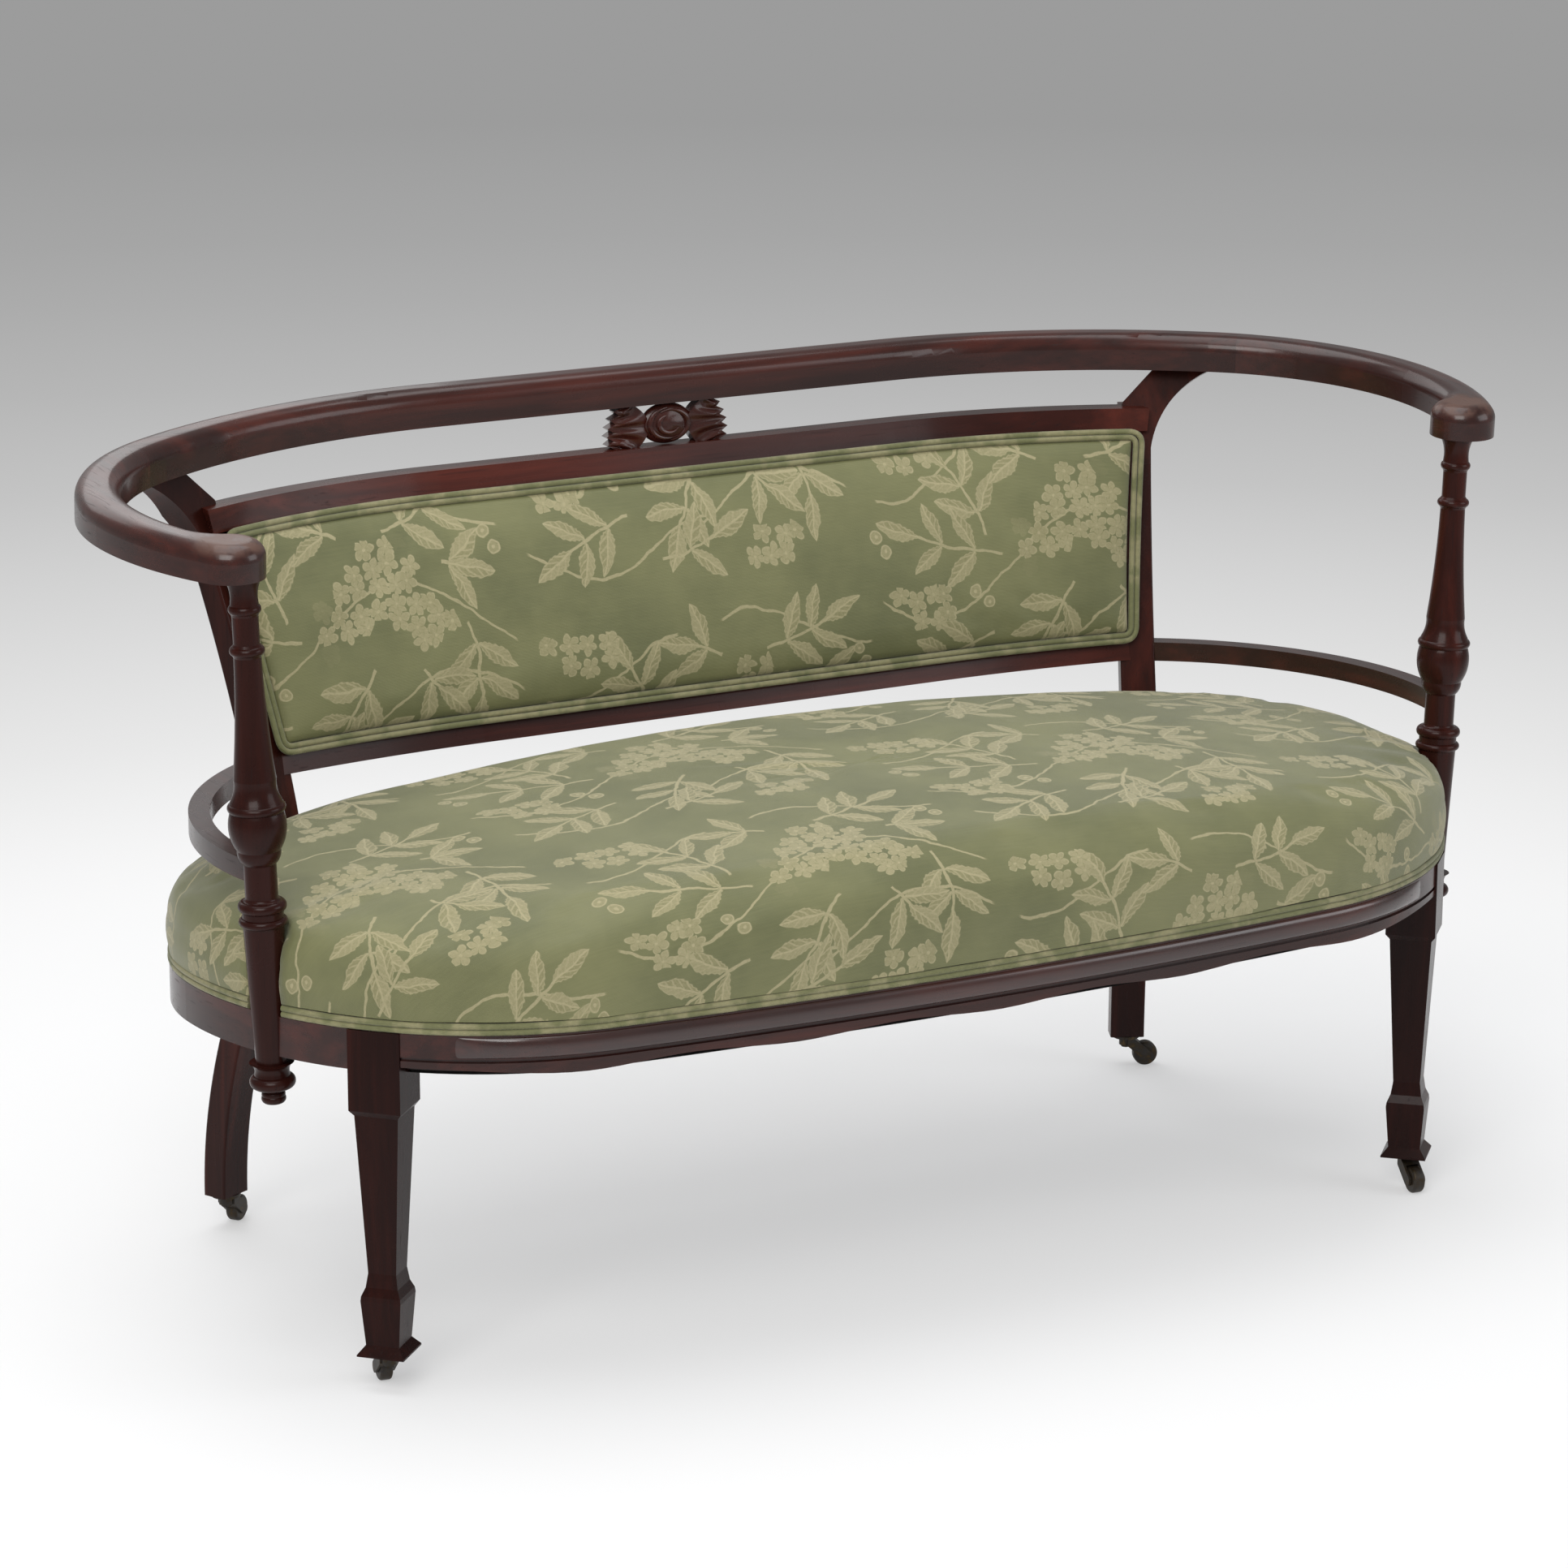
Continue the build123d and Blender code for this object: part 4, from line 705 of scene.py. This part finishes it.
def makeSeat():
    outline = seatOutline(seat["segments"])
    obj = addBall(seat["segments"], seat["rings"])
    spread = []
    pinned = []
    for vertex in obj.data.vertices:
        co = vertex.co
        ring = round(acos(max(-1.0, min(1.0, co.z))) / pi * seat["rings"])
        column = round((atan2(co.y, co.x) + pi / 2) / (2 * pi) * seat["segments"]) % seat["segments"]
        line = outline[column]
        x, y, z = seatPoint(line, ring)
        spread.append((x, y, line))
        wave = noise.noise(Vector((x * 0.011, y * 0.011, z * 0.02)))
        pucker = noise.noise(Vector((column * 0.23, z * 0.016, 4.0))) if ring > seat["topRings"] else 0.0
        x += line[2] * pucker * seat["pucker"]
        y += line[3] * pucker * seat["pucker"]
        if ring < seat["rings"] - seat["flatRings"]:
            z += wave * seat["wave"]
        pulled = 0
        while pulled < seat["longestPull"] and z < seat["clearZ"] and inWood(x, y, z, seat["room"]):
            x -= line[2]
            y -= line[3]
            pulled += 1
        if pulled or ring > seat["topRings"] + seat["edgeRings"] + seat["tackRings"]:
            pinned.append(vertex.index)
        vertex.co = (x * mm, y * mm, z * mm)
    cloth = []
    for vertex, (x, y, line) in zip(obj.data.vertices, spread):
        fall = max(0.0, crownAt(x, y) * mm - vertex.co.z) if abs(x) + abs(y) > 1 else 0.0
        cloth.append((vertex.co.x + line[2] * fall, vertex.co.y + line[3] * fall))
    clothSettle(obj, pinned, seat)
    writeCloth(obj, cloth)
    settle(obj, "seatCushion", sageDamask, 80)
    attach(obj, "frame")
    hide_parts("seat_cover", "seat_stuffing", "spring_canvas", "seat_springs", "cross_webbing", "long_webbing")


makeSeat()
print("seat stuffed")


# back panel

panel = {"lowZ": 427.0, "highZ": 657.5, "lowY": 184.5, "highY": 274.0, "lowR": 1270.0, "highR": 540.0,
         "flatX": 235.0, "railTall": 21.0, "lap": 12.8, "lapZ": 4.0, "welt": 10.6, "proud": 13.0,
         "edge": 6.0, "edgeRun": 15.0, "tackRun": 1.0, "tacked": 1.5,
         "crown": 9.0, "wave": 1.5, "backing": 1.2,
         # where the panel lies on the cloth, in metres, and how far its rake lengthens it
         "clothX": 0.19, "clothZ": 0.02, "clothRake": 1.05,
         "columns": 220, "rows": 56, "pressure": 1.2, "frames": 12, "cap": 3.0}


def panelLine(z):
    share = (z - panel["lowZ"]) / (panel["highZ"] - panel["lowZ"])
    y = panel["lowY"] + (panel["highY"] - panel["lowY"]) * share
    return y, 1 / (1 / panel["lowR"] + (1 / panel["highR"] - 1 / panel["lowR"]) * share)


def panelHalf(z):
    x, _, wide = stileAt(z)
    half = cos(stile["turn"]) * wide / 2
    return x - half - sin(stile["turn"]) * stile["deep"] / 2 + panel["lap"]


def bowAt(x, z, ahead):
    y, radius = panelLine(z)
    radius -= ahead
    past = max(0.0, abs(x) - panel["flatX"])
    return y - ahead - radius + sqrt(radius * radius - past * past)


padLow = panel["lowZ"] + panel["railTall"] - panel["lapZ"]
padHigh = panel["highZ"] - panel["railTall"] + panel["lapZ"]


def makeBack():
    obj = addGrid(panel["columns"], panel["rows"])
    low, high = padLow + panel["welt"], padHigh - panel["welt"]
    cloth = []
    pinned = []
    for vertex in obj.data.vertices:
        s, t = vertex.co.x, (vertex.co.y + 1) / 2
        z = low + (high - low) * t
        half = panelHalf(z) - panel["welt"]
        x = s * half
        inset = min((1 - abs(s)) * half, (z - low), (high - z))
        near = min(1.0, inset / panel["edgeRun"])
        rise = panel["proud"] - panel["edge"] * (1 - sqrt(1 - (1 - near) ** 2))
        rise += panel["crown"] * sin(pi * t) ** 0.8 * (1 - abs(s) ** 8)
        rise += panel["wave"] * noise.noise(Vector((x * 0.016, z * 0.022, 9.0))) * near
        if inset < panel["tackRun"]:
            pinned.append(vertex.index)
            rise = panel["proud"] - panel["edge"] - panel["tacked"]
        y = bowAt(x, z, 0.0) - rise
        cloth.append((x * mm + panel["clothX"], z * mm * panel["clothRake"] + panel["clothZ"]))
        vertex.co = (x * mm, y * mm, z * mm)
    writeCloth(obj, cloth)
    clothSettle(obj, pinned, panel)
    thick = obj.modifiers.new("backing", "SOLIDIFY")
    thick.thickness = panel["backing"] * mm
    thick.offset = 1.0
    applyAll(obj)
    settle(obj, "backCushion", sageDamask, 80)
    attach(obj, "frame")
    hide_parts("back_cover", "back_stuffing", "back_canvas")


makeBack()
print("back stuffed")


# double welts, run as cords along the seat's lower edge and round the back panel

welt = {"radius": 2.75, "step": 5.1, "lanes": 2, "lowZ": 316.6, "proud": 1.2, "wander": 0.25, "room": 2.2,
        "seatSteps": 640, "ahead": 8.3, "corner": 13.0, "cornerSteps": 8, "sideSteps": 16, "longSteps": 90}


def runCord(name, lanes, closed, replaced):
    strands = [makeCord(points, welt["radius"], closed) for points in lanes]
    obj = settle(joinAll(strands), name, weltCloth, 80)
    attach(obj, "frame")
    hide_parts(replaced)


def seatWeltLanes():
    lanes = []
    outline = seatOutline(welt["seatSteps"])
    for lane in range(welt["lanes"]):
        z = welt["lowZ"] + lane * welt["step"]
        runs = [[]]
        for x, y, nx, ny in outline:
            wander = welt["wander"] * noise.noise(Vector((x * 0.05, y * 0.05, lane)))
            out = welt["proud"] - welt["radius"] + wander
            px, py = x + out * nx, y + out * ny
            if inWood(px, py, z, welt["room"]):
                if runs[-1]:
                    runs.append([])
            else:
                runs[-1].append((px, py, z))
        if len(runs) > 1 and runs[-1]:
            runs[0] = runs.pop() + runs[0]
        lanes += [run for run in runs if len(run) > 2]
    return lanes


def backWeltLanes():
    lanes = []
    for lane in range(welt["lanes"]):
        inset = welt["radius"] + lane * welt["step"]
        low, high = padLow + inset, padHigh - inset
        right = [Vector((panelHalf(z) - inset, z)) for z in (low, high)]
        corners = [Vector((-right[0].x, low)), right[0], right[1], Vector((-right[1].x, high))]
        turnIn = welt["corner"] - lane * welt["step"]
        path = []
        for at, corner in enumerate(corners):
            before = corner + (corners[at - 1] - corner).normalized() * turnIn
            after = corner + (corners[(at + 1) % 4] - corner).normalized() * turnIn
            for step in range(welt["cornerSteps"] + 1):
                share = step / welt["cornerSteps"]
                bent = before * (1 - share) ** 2 + corner * (2 * share * (1 - share)) + after * share ** 2
                path.append(bent)
            run = corners[(at + 1) % 4] - corner
            count = welt["sideSteps"] if at % 2 else welt["longSteps"]
            span = run.length - 2 * turnIn
            path += [after + run.normalized() * (span * step / count) for step in range(1, count)]
        lanes.append([(spot.x, bowAt(spot.x, spot.y, welt["ahead"]), spot.y) for spot in path])
    return lanes


runCord("seatWelt", seatWeltLanes(), False, "seat_piping")
runCord("backWelt", backWeltLanes(), True, "back_piping")
print("welts run")


# undercloth below the webbing and the cloth on the outside of the back

under = {"z": 275.6, "inset": 19.0, "sag": 2.0, "segments": 200, "cuts": 9}
outer = {"columns": 150, "rows": 36, "lap": 6.0, "behind": 21.0, "slack": 1.2, "tuck": 0.8}


def makeUnderCloth():
    outline = seatOutline(under["segments"])
    bpy.ops.object.select_all(action="DESELECT")
    bpy.ops.mesh.primitive_circle_add(vertices=under["segments"], radius=1.0, fill_type="TRIFAN")
    obj = bpy.context.object
    editWhole(bpy.ops.mesh.subdivide, number_cuts=under["cuts"])
    for vertex in obj.data.vertices:
        co = vertex.co
        far = min(1.0, hypot(co.x, co.y))
        way = (atan2(co.y, co.x) + pi / 2) / (2 * pi) % 1.0 * under["segments"]
        first = outline[int(way) % under["segments"]]
        second = outline[(int(way) + 1) % under["segments"]]
        part = way - int(way)
        x, y, nx, ny = (a + (b - a) * part for a, b in zip(first, second))
        x -= under["inset"] * nx
        y -= under["inset"] * ny
        sag = under["sag"] * (1 - far ** 4) * (0.6 + 0.4 * noise.noise(Vector((co.x * 4, co.y * 4, 1.0))))
        px, py = towardMiddle(x, y, far)
        vertex.co = (px * mm, py * mm, (under["z"] - max(0.0, sag)) * mm)
    settle(obj, "underCloth", blackLinen, 80)
    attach(obj, "frame")
    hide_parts("bottom_cloth")


def makeOuterBack():
    obj = addGrid(outer["columns"], outer["rows"])
    low, high = panel["lowZ"] + panel["railTall"], panel["highZ"] - panel["railTall"]
    for vertex in obj.data.vertices:
        s, t = vertex.co.x, (vertex.co.y + 1) / 2
        z = low + (high - low) * t
        x = s * (panelHalf(z) - panel["lap"] + outer["lap"])
        slack = outer["slack"] * noise.noise(Vector((x * 0.012, z * 0.03, 3.0))) * (1 - s * s) * sin(pi * t)
        vertex.co = (x * mm, (bowAt(x, z, -outer["behind"]) + slack - outer["tuck"]) * mm, z * mm)
    editWhole(bpy.ops.mesh.flip_normals)
    settle(obj, "outerBackCloth", sageLining, 80)
    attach(obj, "frame")
    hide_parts("outside_back_cloth")


makeUnderCloth()
makeOuterBack()
print("undercloths tacked")


# rounded moulding along the front rail, between the legs

moulding = {"lowZ": 295.2, "highZ": 312.6, "proud": 3.6, "reach": 486.0, "columns": 150, "rows": 10,
            "back": 1.5, "fade": 0.12, "sunk": 0.3}


def makeMoulding():
    obj = addGrid(moulding["columns"], moulding["rows"])
    middle, tall = (moulding["lowZ"] + moulding["highZ"]) / 2, (moulding["highZ"] - moulding["lowZ"]) / 2
    count = len(obj.data.vertices)
    rows = []
    for vertex in obj.data.vertices:
        x, y, nx, ny = outlineAt(vertex.co.x * moulding["reach"])
        turn = pi * (vertex.co.y + 1) / 2
        rows.append((x, y, nx, ny))
        fade = min(1.0, (1 - abs(vertex.co.x)) / moulding["fade"])
        out = moulding["proud"] * sin(turn) ** 0.8 * fade * (2 - fade) - moulding["sunk"] * (1 - fade)
        z = middle - tall * cos(turn)
        vertex.co = ((x + out * nx) * mm, (y + out * ny) * mm, z * mm)
    editWhole(bpy.ops.mesh.extrude_region_move, TRANSFORM_OT_translate={"value": (0, 0.01, 0)})
    for vertex, (x, y, nx, ny) in zip(obj.data.vertices[count:], rows):
        vertex.co.x, vertex.co.y = (x - moulding["back"] * nx) * mm, (y - moulding["back"] * ny) * mm
    editWhole(bpy.ops.mesh.normals_make_consistent, inside=False)
    settle(obj, "railMoulding", mahoganyBead, 50)
    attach(obj, "frame")


makeMoulding()
print("front rail moulded")


# carved splat: two ribbed leaves and a ribboned boss between the top rail and the hoop

splat = {"lowZ": 657.6, "highZ": 696.4, "frontY": 280.6, "backY": 291.2, "half": 62.5,
         "columns": 30, "rows": 60, "teeth": 5, "tooth": 6.5, "rib": 4.0, "belly": 1.6,
         "innerX": 19.0, "spreadHigh": 15.0, "spreadLow": 10.0,
         "bossX": 26.0, "bossZ": 19.0, "bossY": 284.5, "bossDeep": 9.6, "bossSegments": 48, "bossRings": 24,
         "swirl": 0.05, "clear": 0.5, "ribbon": 2.1, "ribbonLift": 0.4, "ribbonSteps": 35,
         # ribbons round the boss: turn from and to in degrees, share of the boss
         "ribbons": [(95, 300, 0.80), (-85, 120, 0.80), (110, 330, 0.46)]}
splatMiddle = (splat["lowZ"] + splat["highZ"]) / 2


def makeSplatLeaf(hand):
    obj = addGrid(splat["columns"], splat["rows"])
    tall = (splat["highZ"] - splat["lowZ"]) / 2
    count = len(obj.data.vertices)
    for vertex in obj.data.vertices:
        u, v = (vertex.co.x + 1) / 2, vertex.co.y
        height = v * 0.5 + 0.5
        tooth = abs(height * splat["teeth"] % 1.0 - 0.5) * 2
        swell = 0.80 + 0.20 * sin(pi * min(1.0, 0.32 + 0.62 * height))
        tip = splat["half"] * swell - splat["tooth"] * tooth
        root = splat["innerX"] + splat["spreadHigh" if v > 0 else "spreadLow"] * abs(v) ** 1.7
        x = root + (tip - root) * u
        spread = 0.35 + 0.65 * u
        fan = sin(pi * (v * spread * 0.5 + 0.5) * splat["teeth"]) ** 2
        y = splat["frontY"] - splat["rib"] * (1 - fan) * spread * (1 - 0.75 * max(0.0, u - 0.78) / 0.22)
        y -= splat["belly"] * (1 - abs(v)) * sin(pi * u)
        vertex.co = (hand * x * mm, y * mm, (splatMiddle + tall * v) * mm)
    editWhole(bpy.ops.mesh.extrude_region_move, TRANSFORM_OT_translate={"value": (0, 0.02, 0)})
    for vertex in obj.data.vertices[count:]:
        vertex.co.y = splat["backY"] * mm
    editWhole(bpy.ops.mesh.normals_make_consistent, inside=False)
    return obj


def makeSplatBoss():
    boss = addBall(splat["bossSegments"], splat["bossRings"])
    for vertex in boss.data.vertices:
        co = vertex.co
        swirl = splat["swirl"] * sin(3 * atan2(co.z, co.x) + 5 * hypot(co.x, co.z))
        y = min(splat["bossY"] + co.y * splat["bossDeep"] * (1 + swirl), splat["backY"] - splat["clear"])
        vertex.co = (co.x * splat["bossX"] * mm, y * mm, (splatMiddle + co.z * splat["bossZ"]) * mm)
    return boss


def makeRibbon(start, end, grow):
    points, swell = [], []
    for step in range(splat["ribbonSteps"] + 1):
        share = step / splat["ribbonSteps"]
        turn = radians(start + (end - start) * share)
        reach = grow * (1 - 0.16 * share)
        lift = sqrt(max(0.0, 1 - reach * reach)) * splat["bossDeep"]
        points.append((cos(turn) * reach * splat["bossX"], splat["bossY"] - lift - splat["ribbonLift"],
                       splatMiddle + sin(turn) * reach * splat["bossZ"]))
        swell.append(0.35 + sin(pi * min(1.0, share * 1.1)))
    return makeCord(points, splat["ribbon"], swell=swell)


def makeSplat():
    made = [makeSplatLeaf(1), makeSplatLeaf(-1), makeSplatBoss()]
    made += [makeRibbon(*ribbon) for ribbon in splat["ribbons"]]
    obj = settle(joinAll(made), "carvedSplat", mahoganyLong, 35)
    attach(obj, "frame")
    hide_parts("carved_splat")


makeSplat()
print("splat carved")


# studio: floor, backdrop, lamps and camera

studio = {
    "paper": (0.80, 0.80, 0.805),
    # painted light falloff: how bright the paper glows to the camera, by distance in metres from the settee
    "fade": [(0.9, 1.0), (1.3, 0.93), (1.85, 0.806), (2.5, 0.686), (3.3, 0.552),
             (4.1, 0.468), (4.9, 0.413), (5.6, 0.378), (7.2, 0.332)],
    "reach": 12.0,
    "floor": 120.0,
    # distances over which the painted glow grows from 0.4 of the paper, lifting the shadow near the settee, to
    # all of it
    "near": (0.75, 1.9),
    # the world as it lights the settee, and as the camera sees it
    "sky": rgb(0.40, 0.405, 0.415),
    "wall": rgb(0.328, 0.328, 0.328),
}


def makeStage():
    bpy.ops.object.select_all(action="DESELECT")
    bpy.ops.mesh.primitive_plane_add(size=studio["floor"])
    floor = bpy.context.object
    floor.name = "studioFloor"
    finish, wire, shader = newFinish("floorPaper")
    tree = finish.node_tree
    away = lengthOf(wire, objectPlace(wire))
    stops = [(far / studio["reach"], (bright, bright, bright)) for far, bright in studio["fade"]]
    colour = tonesOf(wire, away / studio["reach"], stops)
    # painted light: the paper glows with the painted falloff to camera and glossy rays
    paintedGlow = wire.node("Emission", None, {"Color": colour, "Strength": 1.0})
    setSocket(wire, shader, {"Base Color": rgb(*studio["paper"]), "Roughness": 0.9,
                             "Specular IOR Level": 0.1})
    share = seenDirectly(wire) * (away.step(*studio["near"]) * 0.6 + 0.4)
    blend = wire.node("MixShader", None, {0: share, 1: Wire(tree, shader.outputs[0]), 2: paintedGlow})
    tree.links.new(blend.out, tree.nodes["Material Output"].inputs["Surface"])
    floor.data.materials.append(finish)


def addLamp(name, place, aim, size, watts, colour):
    bpy.ops.object.select_all(action="DESELECT")
    bpy.ops.object.light_add(type="AREA", location=place)
    lamp = bpy.context.object
    lamp.name = name
    lamp.data.shape = "RECTANGLE"
    lamp.data.size, lamp.data.size_y = size
    lamp.data.energy = watts
    lamp.data.color = colour
    lamp.rotation_euler = (Vector(aim) - Vector(place)).to_track_quat("-Z", "Y").to_euler()


makeStage()
addLamp("keyLamp", (-2.4, -2.6, 3.0), (0, 0, 0.4), (2.6, 2.2), 105, (1.0, 0.985, 0.96))
addLamp("topLamp", (-0.3, 0.3, 3.4), (0, 0, 0.4), (3.4, 2.6), 76, (1.0, 1.0, 1.0))
addLamp("rimLamp", (-0.3, 2.7, 2.1), (-0.55, 0, 0.7), (2.6, 1.4), 15, (1.0, 1.0, 1.0))
addLamp("fillLamp", (3.0, -2.6, 1.8), (0, 0, 0.4), (2.4, 2.0), 40, (0.96, 0.98, 1.0))


def makeWorld():
    world = bpy.data.worlds.new("studioWorld")
    world.use_nodes = True
    tree = world.node_tree
    wire = Wire(tree, None)
    colour = seenDirectly(wire).mix(studio["sky"], studio["wall"])
    wire.feed(tree.nodes["Background"].inputs["Color"], colour)
    bpy.context.scene.world = world


makeWorld()
bpy.context.scene.view_settings.view_transform = "Standard"

view = {"place": (-2.14162, -3.784836, 1.581686), "lens": 117.31, "sensor": 36.0, "clip": 60.0,
        "right": (0.873883, -0.486133, 0.001885), "up": (0.125688, 0.229682, 0.965116),
        "ahead": (0.469607, 0.843162, -0.261816)}
bpy.ops.object.camera_add(location=view["place"])
camera = bpy.context.object
camera.name = "photoCamera"
camera.data.sensor_width = view["sensor"]
camera.data.lens = view["lens"]
camera.data.clip_end = view["clip"]
turn = Matrix((view["right"], view["up"], [-part for part in view["ahead"]])).transposed()
camera.rotation_euler = turn.to_euler()
bpy.context.scene.camera = camera
print("studio set")
